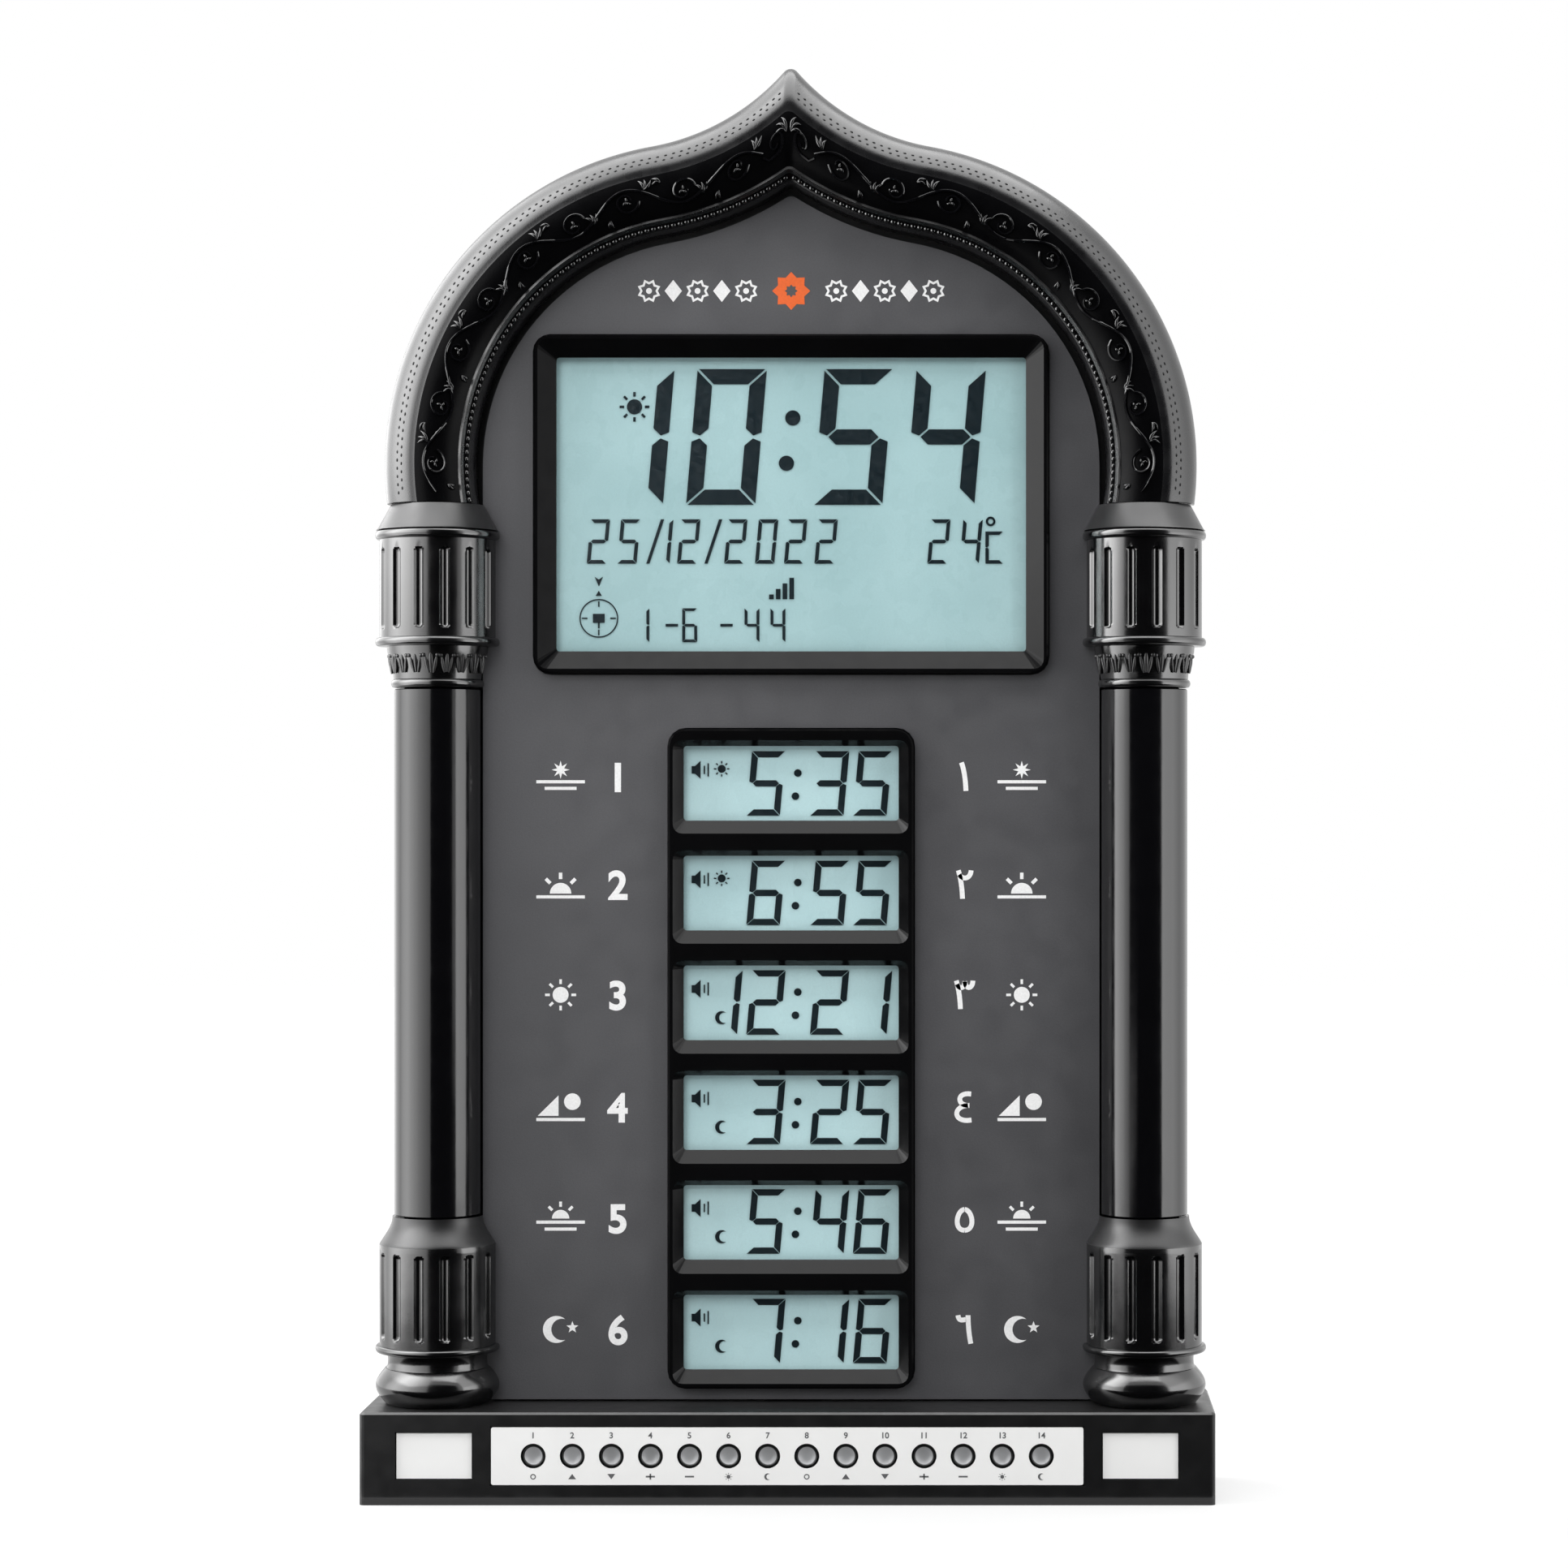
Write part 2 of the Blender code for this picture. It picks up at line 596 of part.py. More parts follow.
def add_flutes(name, target, centre_x, drum_z, drum_height):
    """Cut round-ended slots into the visible half of a drum."""
    slots = bmesh.new()
    outline = slot_outline(FLUTE_WIDTH, drum_height - FLUTE_MARGIN * 2, (0.0, 0.0), FLUTE_END_STEPS)
    middle_z = drum_z + drum_height / 2
    for angle in FLUTE_ANGLES:
        side = (math.cos(angle), math.sin(angle))
        loops = []
        for reach in (DRUM_RADIUS - FLUTE_DEPTH, DRUM_RADIUS + FLUTE_DEPTH):
            loops.append([
                (
                    centre_x + across * side[0] + reach * side[1],
                    COLUMN_AXIS_Y + across * side[1] - reach * side[0],
                    middle_z + up,
                )
                for across, up in outline
            ])
        add_loft(slots, loops)
    cut(target, name + "_flutes", slots)


def make_capital(side, centre_x, finish):
    """Flared capital with a fluted drum over a hollowed neck."""
    name = "capital_" + side
    bands = (
        (ASTRAGAL_RADIUS, 0.0), (ASTRAGAL_RADIUS, ASTRAGAL_HEIGHT),
        (NECK_RADIUS, 0.0), (NECK_RADIUS, NECK_HEIGHT / 3), (NECK_TOP_RADIUS, NECK_HEIGHT * 2 / 3),
        (LIP_RADIUS, 0.0), (LIP_RADIUS, CAPITAL_LOWER_LIP_HEIGHT),
        (DRUM_RADIUS, 0.0), (DRUM_RADIUS, CAPITAL_DRUM_HEIGHT),
        (LIP_RADIUS, 0.0), (LIP_RADIUS, CAPITAL_UPPER_LIP_HEIGHT),
        (FLARE_TOP_RADIUS, FLARE_HEIGHT),
    )
    capital = turned_bands(name, bands, centre_x, CAPITAL_FOOT_Z, finish)
    add_flutes(name, capital, centre_x, CAPITAL_DRUM_Z, CAPITAL_DRUM_HEIGHT)
    column_cutters(name, capital, centre_x, CAPITAL_FOOT_Z, CAPITAL_TOP_Z, False, True)
    return capital


def make_shaft(side, centre_x, finish):
    """Plain glossy shaft."""
    name = "shaft_" + side
    bands = ((SHAFT_RADIUS, 0.0), (SHAFT_RADIUS, SHAFT_HEIGHT))
    shaft = turned_bands(name, bands, centre_x, SHAFT_FOOT_Z, finish)
    column_cutters(
        name, shaft, centre_x, SHAFT_FOOT_Z, SHAFT_FOOT_Z + SHAFT_HEIGHT, False, False
    )
    return shaft


def make_pedestal(side, centre_x, finish):
    """Round foot, waist, fluted drum and bell."""
    name = "pedestal_" + side
    bulge = FOOT_HEIGHT / 2
    foot_steps = 4
    bands = []
    for step in range(foot_steps + 1):
        angle = math.pi * (step / foot_steps - 1 / 2)
        radius = FOOT_RADIUS - bulge * (1 - math.cos(angle)) * FOOT_ROUND_SHARE
        bands.append((radius, 0.0 if step == 0 else FOOT_HEIGHT / foot_steps))
    bands += [
        (WAIST_RADIUS, 0.0), (WAIST_RADIUS, WAIST_HEIGHT),
        (LIP_RADIUS, 0.0), (LIP_RADIUS, PEDESTAL_LIP_HEIGHT),
        (DRUM_RADIUS, 0.0), (DRUM_RADIUS, PEDESTAL_DRUM_HEIGHT),
        (NECK_RADIUS, BELL_HEIGHT),
    ]
    pedestal = turned_bands(name, bands, centre_x, CASE_FOOT_Z, finish)
    add_flutes(name, pedestal, centre_x, PEDESTAL_DRUM_Z, PEDESTAL_DRUM_HEIGHT)
    column_cutters(name, pedestal, centre_x, CASE_FOOT_Z, PEDESTAL_TOP_Z, True, False)
    return pedestal


def turned_bands(name, bands, centre_x, foot_z, finish):
    """Turn (radius, rise since the last) pairs about an upright column axis."""
    profile = [(0.0, foot_z)]
    height = foot_z
    for radius, rise in bands:
        height += rise
        profile.append((radius, height))
    profile.append((0.0, height))
    body = bmesh.new()
    add_turned(body, profile, COLUMN_SIDES, (centre_x, COLUMN_AXIS_Y, 0.0), "Z")
    return add_object(name, body, finish)


def make_columns(finishes):
    """Both columns, each a pedestal, a shaft and a capital."""
    for side, sign in (("left", -1), ("right", 1)):
        make_capital(side, sign * COLUMN_X, finishes["satin"])
        make_shaft(side, sign * COLUMN_X, finishes["gloss"])
        make_pedestal(side, sign * COLUMN_X, finishes["satin"])


def make_arch_moulding(finish):
    """Half-round hollow band swept along the ogee arch."""
    half_band = ARCH_BAND / 2
    middle = ARCH_OUTER_RADIUS - half_band
    ring = [(half_band, COLUMN_SEAT_Y)]
    for step in range(BAND_STEPS + 1):
        angle = math.pi * step / BAND_STEPS
        ring.append((half_band * math.cos(angle), COLUMN_AXIS_Y - half_band * math.sin(angle)))
    ring.append((-half_band, COLUMN_SEAT_Y))
    inner = half_band - ARCH_WALL
    ring.append((-inner, COLUMN_SEAT_Y))
    for step in range(BAND_INNER_STEPS + 1):
        angle = math.pi * (1 - step / BAND_INNER_STEPS)
        ring.append((inner * math.cos(angle), COLUMN_AXIS_Y - inner * math.sin(angle)))
    ring.append((inner, COLUMN_SEAT_Y))
    rows = [
        [(x, y, z) for x, z in mirrored(arch_curve(middle + across, ARCH_SPRING_Z))]
        for across, y in ring
    ]
    loops = [list(column) for column in zip(*rows)]
    band = bmesh.new()
    add_loft(band, loops)
    return add_object("arch_moulding", band, finish)


def make_face_panel(finish):
    """Grey face sheet with an opening for each display frame."""
    foot_z = CASE_FOOT_Z + GAP
    outline = mirrored([(PANEL_HALF_WIDTH, foot_z)] + arch_curve(PANEL_RADIUS, ARCH_CENTRE_Z))
    sheet = bmesh.new()
    add_prism(sheet, outline, PANEL_FRONT_Y, PANEL_BACK_Y)
    panel = add_object("face_panel", sheet, finish)
    openings = bmesh.new()
    limits = (PANEL_FRONT_Y - OVERRUN, PANEL_BACK_Y + OVERRUN)
    for width, height, centre_z in (
        (MAIN_BEZEL_WIDTH, MAIN_BEZEL_HEIGHT, MAIN_CENTRE_Z),
        (ROW_BEZEL_WIDTH, ROW_BEZEL_TOP_Z - ROW_BEZEL_FOOT_Z, ROW_BEZEL_CENTRE_Z),
    ):
        outline = rounded_rectangle(
            width + GAP * 2, height + GAP * 2, BEZEL_CORNER + GAP, (0.0, centre_z)
        )
        add_prism(openings, outline, *limits)
    cut(panel, "face_panel_openings", openings)
    return panel


def bezel_blank(name, width, height, centre_z, finish):
    """Rounded frame blank with a softened front edge."""
    loops = []
    for y, inset in (
        (BEZEL_BACK_Y, 0.0), (BEZEL_FRONT_Y + BEZEL_EDGE, 0.0), (BEZEL_FRONT_Y, BEZEL_EDGE)
    ):
        outline = rounded_rectangle(
            width - inset * 2, height - inset * 2, BEZEL_CORNER - inset, (0.0, centre_z)
        )
        loops.append([(x, y, z) for x, z in outline])
    blank = bmesh.new()
    add_loft(blank, loops)
    return add_object(name, blank, finish)


def add_sloped_opening(cutter, width, height, centre_z, side, upper, lower):
    """Add a cutter that widens towards the viewer by three named slopes."""
    view = rounded_rectangle(width, height, WINDOW_CORNER, (0.0, centre_z))
    mouth_centre = centre_z + (upper - lower) / 2
    mouth = rounded_rectangle(
        width + side * 2, height + upper + lower, WINDOW_CORNER * 3, (0.0, mouth_centre)
    )
    land_y = BEZEL_SEAT_Y - BEZEL_LAND
    loops = [
        [(x, BEZEL_SEAT_Y + OVERRUN, z) for x, z in view],
        [(x, land_y, z) for x, z in view],
        [(x, BEZEL_FRONT_Y, z) for x, z in mouth],
        [(x, BEZEL_FRONT_Y - OVERRUN, z) for x, z in mouth],
    ]
    add_loft(cutter, loops)


def add_window_seat(cutter, width, height, centre_z):
    """Add a cutter for the pocket that holds a window behind its frame."""
    outline = rectangle(width + GAP * 2, height + GAP * 2, (0.0, centre_z))
    add_prism(cutter, outline, BEZEL_SEAT_Y, BEZEL_BACK_Y + OVERRUN)


def add_plate(name, width, height, centre_z, front_y, back_y, finish):
    """Flat rectangular piece, upright and centred on X."""
    plate = bmesh.new()
    add_prism(plate, rectangle(width, height, (0.0, centre_z)), front_y, back_y)
    return add_object(name, plate, finish)


def make_main_display(finishes):
    """Frame, window, cell and light guide of the large display."""
    bezel = bezel_blank(
        "main_bezel", MAIN_BEZEL_WIDTH, MAIN_BEZEL_HEIGHT, MAIN_CENTRE_Z, finishes["gloss"]
    )
    window_width = MAIN_VIEW_WIDTH + WINDOW_LAP * 2
    window_height = MAIN_VIEW_HEIGHT + WINDOW_LAP * 2
    opening = bmesh.new()
    add_sloped_opening(
        opening, MAIN_VIEW_WIDTH, MAIN_VIEW_HEIGHT, MAIN_CENTRE_Z,
        MAIN_SLOPE, MAIN_SLOPE, MAIN_SLOPE,
    )
    cut(bezel, "main_bezel_opening", opening)
    seat = bmesh.new()
    add_window_seat(seat, window_width, window_height, MAIN_CENTRE_Z)
    cut(bezel, "main_bezel_seat", seat)
    add_plate(
        "main_window", window_width, window_height, MAIN_CENTRE_Z,
        WINDOW_FRONT_Y, WINDOW_BACK_Y, finishes["clear"],
    )
    cell_width = MAIN_VIEW_WIDTH + LCD_LAP * 2
    cell_height = MAIN_VIEW_HEIGHT + LCD_LAP * 2
    add_plate(
        "main_lcd", cell_width, cell_height, MAIN_CENTRE_Z,
        LCD_FRONT_Y, LCD_BACK_Y, finishes["lcd"],
    )
    add_plate(
        "main_backlight", cell_width, cell_height, MAIN_CENTRE_Z,
        BACKLIGHT_FRONT_Y, BACKLIGHT_BACK_Y, finishes["guide"],
    )


def row_centres():
    """Heights of the six small displays, from the lowest up."""
    return [ROW_FIRST_Z + ROW_PITCH * index for index in range(ROW_COUNT)]


def make_row_displays(finishes):
    """Ladder frame, window strip, six cells and the light guide behind them."""
    height = ROW_BEZEL_TOP_Z - ROW_BEZEL_FOOT_Z
    bezel = bezel_blank(
        "row_bezel", ROW_BEZEL_WIDTH, height, ROW_BEZEL_CENTRE_Z, finishes["gloss"]
    )
    openings = bmesh.new()
    for centre_z in row_centres():
        add_sloped_opening(
            openings, ROW_VIEW_WIDTH, ROW_VIEW_HEIGHT, centre_z,
            ROW_SIDE_SLOPE, ROW_UPPER_SLOPE, ROW_LOWER_SLOPE,
        )
    cut(bezel, "row_bezel_openings", openings)
    window_width = ROW_BEZEL_WIDTH - ROW_WINDOW_MARGIN * 2
    window_height = height - ROW_WINDOW_MARGIN * 2
    seat = bmesh.new()
    add_window_seat(seat, window_width, window_height, ROW_BEZEL_CENTRE_Z)
    cut(bezel, "row_bezel_seat", seat)
    add_plate(
        "row_window", window_width, window_height, ROW_BEZEL_CENTRE_Z,
        WINDOW_FRONT_Y, WINDOW_BACK_Y, finishes["clear"],
    )
    cell_width = ROW_VIEW_WIDTH + LCD_LAP * 2
    cell_height = ROW_VIEW_HEIGHT + LCD_LAP * 2
    for index, centre_z in enumerate(row_centres()):
        add_plate(
            f"row_lcd_{ROW_COUNT - index}", cell_width, cell_height, centre_z,
            LCD_FRONT_Y, LCD_BACK_Y, finishes["lcd"],
        )
    add_plate(
        "row_backlight", cell_width, ROW_PITCH * (ROW_COUNT - 1) + cell_height, ROW_MIDDLE_Z,
        BACKLIGHT_FRONT_Y, BACKLIGHT_BACK_Y, finishes["guide"],
    )


def signs():
    """The four combinations of two signs."""
    return ((-1, -1), (-1, 1), (1, -1), (1, 1))


def case_boss_places():
    """Places (x, z) of the four screws that close the case."""
    places = []
    reach = CASE_RADIUS - CASE_WALL - SCREW_HEAD_RADIUS
    for side in (-1, 1):
        places.append((side * CASE_BOSS_X, CASE_FOOT_Z + CASE_BOSS_RISE))
        places.append((
            side * (ARCH_CENTRE_X + reach * math.cos(CASE_BOSS_ANGLE)),
            ARCH_CENTRE_Z + reach * math.sin(CASE_BOSS_ANGLE),
        ))
    return places


def board_boss_places():
    """Places (x, z) of the bosses that carry the two display boards."""
    places = [(x * MAIN_BOSS_X, MAIN_CENTRE_Z + z * MAIN_BOSS_Z) for x, z in signs()]
    places += [(x * ROW_BOSS_X, ROW_MIDDLE_Z + z * ROW_BOSS_Z) for x, z in signs()]
    return places


def stake_profile(root_y, board_front_y):
    """Turned profile of a boss whose heat stake passes through a board."""
    seat_y = board_front_y - GAP
    head_y = board_front_y + PCB_THICKNESS + GAP
    return [
        (0.0, root_y), (BOARD_BOSS_RADIUS, root_y), (BOARD_BOSS_RADIUS, seat_y),
        (STAKE_RADIUS, seat_y), (STAKE_RADIUS, head_y), (STAKE_HEAD_RADIUS, head_y),
        (STAKE_HEAD_RADIUS, head_y + STAKE_HEAD_HEIGHT), (0.0, head_y + STAKE_HEAD_HEIGHT),
    ]


def make_front_housing(finish):
    """Front shell with display openings, stakes, screw pillars and foot pegs."""
    blank = bmesh.new()
    add_prism(blank, case_outline(0.0), CASE_FRONT_Y, FRONT_HOUSING_DEPTH)
    housing = add_object("front_housing", blank, finish)
    inner_y = CASE_FRONT_Y + CASE_WALL
    cavity = bmesh.new()
    add_prism(cavity, case_outline(CASE_WALL), inner_y, FRONT_HOUSING_DEPTH + OVERRUN)
    cut(housing, "front_housing_cavity", cavity)
    bosses = bmesh.new()
    root_y = inner_y - CASE_WALL / 2
    for x, z in board_boss_places():
        add_turned(bosses, stake_profile(root_y, PCB_FRONT_Y), BOSS_SIDES, (x, 0.0, z))
    for x, z in case_boss_places():
        add_cylinder(
            bosses, CASE_BOSS_RADIUS, BORE_SIDES, (x, 0.0, z), root_y,
            FRONT_HOUSING_DEPTH - GAP,
        )
    for side in (-1, 1):
        add_cylinder(
            bosses, BOARD_BOSS_RADIUS, BOSS_SIDES, (side * TIE_X, TIE_Y, 0.0),
            CASE_FOOT_Z - TIE_PEG_LENGTH, CASE_FOOT_Z + CASE_WALL / 2, "Z",
        )
    join(housing, "front_housing_bosses", bosses)
    openings = bmesh.new()
    limits = (CASE_FRONT_Y - OVERRUN, inner_y + OVERRUN)
    margin = (LCD_LAP + GAP) * 2
    add_prism(
        openings,
        rectangle(MAIN_VIEW_WIDTH + margin, MAIN_VIEW_HEIGHT + margin, (0.0, MAIN_CENTRE_Z)),
        *limits,
    )
    for centre_z in row_centres():
        add_prism(
            openings,
            rectangle(ROW_VIEW_WIDTH + margin, ROW_VIEW_HEIGHT + margin, (0.0, centre_z)),
            *limits,
        )
    cut(housing, "front_housing_openings", openings)
    pilots = bmesh.new()
    pilot_end = CASE_BACK_Y - SCREW_HEAD_HEIGHT - SCREW_LENGTH - SCREW_SPARE
    for x, z in case_boss_places():
        add_cylinder(
            pilots, SCREW_SHANK_RADIUS + GAP, BOSS_SIDES, (x, 0.0, z),
            pilot_end, FRONT_HOUSING_DEPTH + OVERRUN,
        )
    cut(housing, "front_housing_pilots", pilots)
    return housing


def make_rear_cover(finish):
    """Rear shell with battery bay, speaker socket, grille, inlet and keyhole."""
    front_y = FRONT_HOUSING_DEPTH + GAP
    loops = []
    for y, inset in (
        (front_y, 0.0), (CASE_BACK_Y - CASE_EDGE, 0.0), (CASE_BACK_Y, CASE_EDGE)
    ):
        loops.append([(x, y, z) for x, z in case_outline(inset)])
    blank = bmesh.new()
    add_loft(blank, loops)
    cover = add_object("rear_cover", blank, finish)
    cavity = bmesh.new()
    add_prism(cavity, case_outline(CASE_WALL), front_y - OVERRUN, CASE_INNER_BACK_Y)
    cut(cover, "rear_cover_cavity", cavity)
    through = (CASE_INNER_BACK_Y - OVERRUN, CASE_BACK_Y + OVERRUN)
    head = bmesh.new()
    add_cylinder(head, KEYHOLE_HEAD_RADIUS, BORE_SIDES, (0.0, 0.0, KEYHOLE_Z), *through)
    cut(cover, "rear_cover_keyhole_head", head)
    slot = bmesh.new()
    slot_height = KEYHOLE_RISE + KEYHOLE_SLOT_WIDTH
    slot_centre = (0.0, KEYHOLE_Z + KEYHOLE_RISE / 2)
    outline = slot_outline(KEYHOLE_SLOT_WIDTH, slot_height, slot_centre, FLUTE_END_STEPS * 2)
    add_prism(slot, outline, *through)
    cut(cover, "rear_cover_keyhole_slot", slot)
    join(cover, "rear_cover_bosses", rear_cover_additions(front_y))
    half_bay = BAY_HEIGHT / 2
    bay = bmesh.new()
    bay_z = (BAY_CENTRE_Z - half_bay, BAY_CENTRE_Z + half_bay)
    add_box(bay, (BAY_OUTER_X, BAY_INNER_X), (BAY_FLOOR_Y, CASE_BACK_Y + OVERRUN), bay_z)
    cut(cover, "rear_cover_bay", bay)
    ledge = bmesh.new()
    add_box(
        ledge, (BAY_INNER_X - OVERRUN, DOOR_END_X + GAP),
        (DOOR_FRONT_Y - GAP, CASE_BACK_Y + OVERRUN), bay_z,
    )
    cut(cover, "rear_cover_ledge", ledge)
    holes = bmesh.new()
    for side in (-1, 1):
        limits = sorted((
            BAY_CENTRE_Z + side * (half_bay - OVERRUN),
            BAY_CENTRE_Z + side * (half_bay + HINGE_PIN_LENGTH),
        ))
        add_cylinder(
            holes, HINGE_PIN_RADIUS + GAP, BORE_SIDES, (HINGE_X, HINGE_Y, 0.0), *limits, "Z"
        )
    for x, z in case_boss_places():
        add_turned(holes, case_screw_bore(front_y), BORE_SIDES, (x, 0.0, z))
    add_cylinder(
        holes, JACK_RADIUS + GAP, JACK_SIDES, (JACK_X, 0.0, JACK_Z),
        CASE_INNER_BACK_Y - OVERRUN, CASE_BACK_Y + OVERRUN,
    )
    add_grille(holes)
    add_ribbon_slot(holes, (CASE_FOOT_Z - OVERRUN, CASE_FOOT_Z + CASE_WALL + OVERRUN))
    cut(cover, "rear_cover_holes", holes)
    return cover


def rear_cover_additions(front_y):
    """Bay walls, screw pillars and speaker socket that stand inside the cover."""
    added = bmesh.new()
    root_y = CASE_INNER_BACK_Y + CASE_WALL / 2
    half_bay = BAY_HEIGHT / 2 + BAY_WALL
    add_box(
        added, (BAY_OUTER_X - BAY_WALL, BAY_INNER_X + BAY_WALL),
        (BAY_FLOOR_Y - BAY_FLOOR, root_y),
        (BAY_CENTRE_Z - half_bay, BAY_CENTRE_Z + half_bay),
    )
    for x, z in case_boss_places():
        add_cylinder(added, CASE_BOSS_RADIUS, BORE_SIDES, (x, 0.0, z), front_y + GAP, root_y)
    inner = SPEAKER_RADIUS + GAP
    outer = inner + SPEAKER_SOCKET_WALL
    socket_y = CASE_INNER_BACK_Y - SPEAKER_SOCKET_HEIGHT
    loops = [
        [(SPEAKER_X + x, y, SPEAKER_Z + z) for x, z in circle(radius, SPEAKER_SIDES)]
        for radius, y in ((outer, socket_y), (outer, root_y), (inner, root_y), (inner, socket_y))
    ]
    add_loft(added, loops, ring=True)
    return added


def case_screw_bore(front_y):
    """Turned profile of a stepped bore for a case screw."""
    head_y = CASE_BACK_Y - SCREW_HEAD_HEIGHT - GAP
    bore = SCREW_SHANK_RADIUS + GAP
    counterbore = SCREW_HEAD_RADIUS + GAP
    back_y = CASE_BACK_Y + OVERRUN
    return [
        (0.0, front_y - OVERRUN), (bore, front_y - OVERRUN), (bore, head_y),
        (counterbore, head_y), (counterbore, back_y), (0.0, back_y),
    ]


def add_grille(holes):
    """Add the sound slots, as long as the round grille allows at each height."""
    reach = SPEAKER_RADIUS - SPEAKER_RIM * 2
    for index in range(GRILLE_SLOTS):
        rise = GRILLE_PITCH * (index - (GRILLE_SLOTS - 1) / 2)
        half = math.sqrt(reach ** 2 - rise ** 2)
        middle = SPEAKER_Z + rise
        add_box(
            holes, (SPEAKER_X - half, SPEAKER_X + half),
            (CASE_INNER_BACK_Y - OVERRUN, CASE_BACK_Y + OVERRUN),
            (middle - GRILLE_SLOT_WIDTH / 2, middle + GRILLE_SLOT_WIDTH / 2),
        )


def add_ribbon_slot(cutter, z_range):
    """Add a slot that the flat key cable passes through."""
    half_width = RIBBON_WIDTH / 2 + RIBBON_SLOT_MARGIN
    half_depth = RIBBON_THICKNESS / 2 + RIBBON_SLOT_MARGIN
    add_box(
        cutter, (-half_width, half_width),
        (RIBBON_DROP_Y - half_depth, RIBBON_DROP_Y + half_depth), z_range,
    )


def key_places():
    """Distances of the push keys along X."""
    return [KEY_PITCH * (index - (KEY_COUNT - 1) / 2) for index in range(KEY_COUNT)]


def make_base_housing(finish):
    """Open-bottomed base box with key holes, recesses and bosses."""
    loops = []
    for z, inset in (
        (0.0, 0.0), (BASE_HEIGHT - BASE_EDGE, 0.0), (BASE_HEIGHT, BASE_EDGE)
    ):
        outline = rounded_rectangle(
            BASE_WIDTH - inset * 2, BASE_DEPTH - inset * 2, BASE_CORNER - inset
        )
        loops.append([(x, y, z) for x, y in outline])
    blank = bmesh.new()
    add_loft(blank, loops)
    base = add_object("base_housing", blank, finish)
    ceiling_z = BASE_HEIGHT - BASE_WALL
    half_width = BASE_WIDTH / 2 - BASE_WALL
    half_depth = BASE_DEPTH / 2 - BASE_WALL
    cavity = bmesh.new()
    add_box(
        cavity, (-half_width, half_width), (-half_depth, half_depth), (-OVERRUN, ceiling_z)
    )
    cut(base, "base_housing_cavity", cavity)
    bosses = bmesh.new()
    for x, y in cover_peg_places():
        add_cylinder(
            bosses, BOARD_BOSS_RADIUS, BOSS_SIDES, (x, y, 0.0),
            BASE_COVER_THICKNESS + GAP, ceiling_z + BASE_WALL / 2, "Z",
        )
    root_y = BASE_INNER_FRONT_Y - BASE_WALL / 4
    for side in (-1, 1):
        add_turned(
            bosses, stake_profile(root_y, KEY_PCB_FRONT_Y), BOSS_SIDES,
            (side * KEY_BOSS_X, 0.0, KEY_Z),
        )
    join(base, "base_housing_bosses", bosses)
    recesses = bmesh.new()
    add_prism(
        recesses,
        rectangle(STRIP_WIDTH + GAP * 2, STRIP_HEIGHT + GAP * 2, (0.0, KEY_Z)),
        BASE_FRONT_Y - OVERRUN, BASE_FRONT_Y + STRIP_THICKNESS + GAP,
    )
    for side in (-1, 1):
        add_prism(
            recesses,
            rectangle(INLAY_WIDTH + GAP * 2, INLAY_HEIGHT + GAP * 2, (side * INLAY_X, KEY_Z)),
            BASE_FRONT_Y - OVERRUN, BASE_FRONT_Y + INLAY_RECESS + INLAY_THICKNESS + GAP,
        )
    cut(base, "base_housing_recesses", recesses)
    holes = bmesh.new()
    for x in key_places():
        add_cylinder(
            holes, KEY_HOLE_RADIUS, BORE_SIDES, (x, 0.0, KEY_Z),
            BASE_FRONT_Y - OVERRUN, BASE_INNER_FRONT_Y + OVERRUN,
        )
    for x, y in cover_peg_places():
        add_cylinder(
            holes, PEG_RADIUS + GAP, BOSS_SIDES, (x, y, 0.0), 0.0,
            BASE_COVER_THICKNESS + PEG_LENGTH + PEG_SPARE, "Z",
        )
    for side in (-1, 1):
        add_cylinder(
            holes, BOARD_BOSS_RADIUS + GAP, BOSS_SIDES, (side * TIE_X, TIE_Y, 0.0),
            ceiling_z - OVERRUN, BASE_HEIGHT + OVERRUN, "Z",
        )
    add_ribbon_slot(holes, (ceiling_z - OVERRUN, BASE_HEIGHT + OVERRUN))
    cut(base, "base_housing_holes", holes)
    return base


def cover_peg_places():
    """Places (x, y) of the pegs that hold the bottom plate."""
    x = BASE_WIDTH / 2 - COVER_BOSS_INSET_X
    y = BASE_DEPTH / 2 - COVER_BOSS_INSET_Y
    return [(side_x * x, side_y * y) for side_x, side_y in signs()]


def make_base_cover(finish):
    """Bottom plate with four pegs that press into the base's bosses."""
    plate = bmesh.new()
    half_width = BASE_WIDTH / 2 - BASE_WALL - GAP
    half_depth = BASE_DEPTH / 2 - BASE_WALL - GAP
    add_box(
        plate, (-half_width, half_width), (-half_depth, half_depth),
        (0.0, BASE_COVER_THICKNESS),
    )
    cover = add_object("base_cover", plate, finish)
    pegs = bmesh.new()
    for x, y in cover_peg_places():
        add_cylinder(
            pegs, PEG_RADIUS, BOSS_SIDES, (x, y, 0.0),
            BASE_COVER_THICKNESS / 2, BASE_COVER_THICKNESS + PEG_LENGTH, "Z",
        )
    join(cover, "base_cover_pegs", pegs)
    return cover


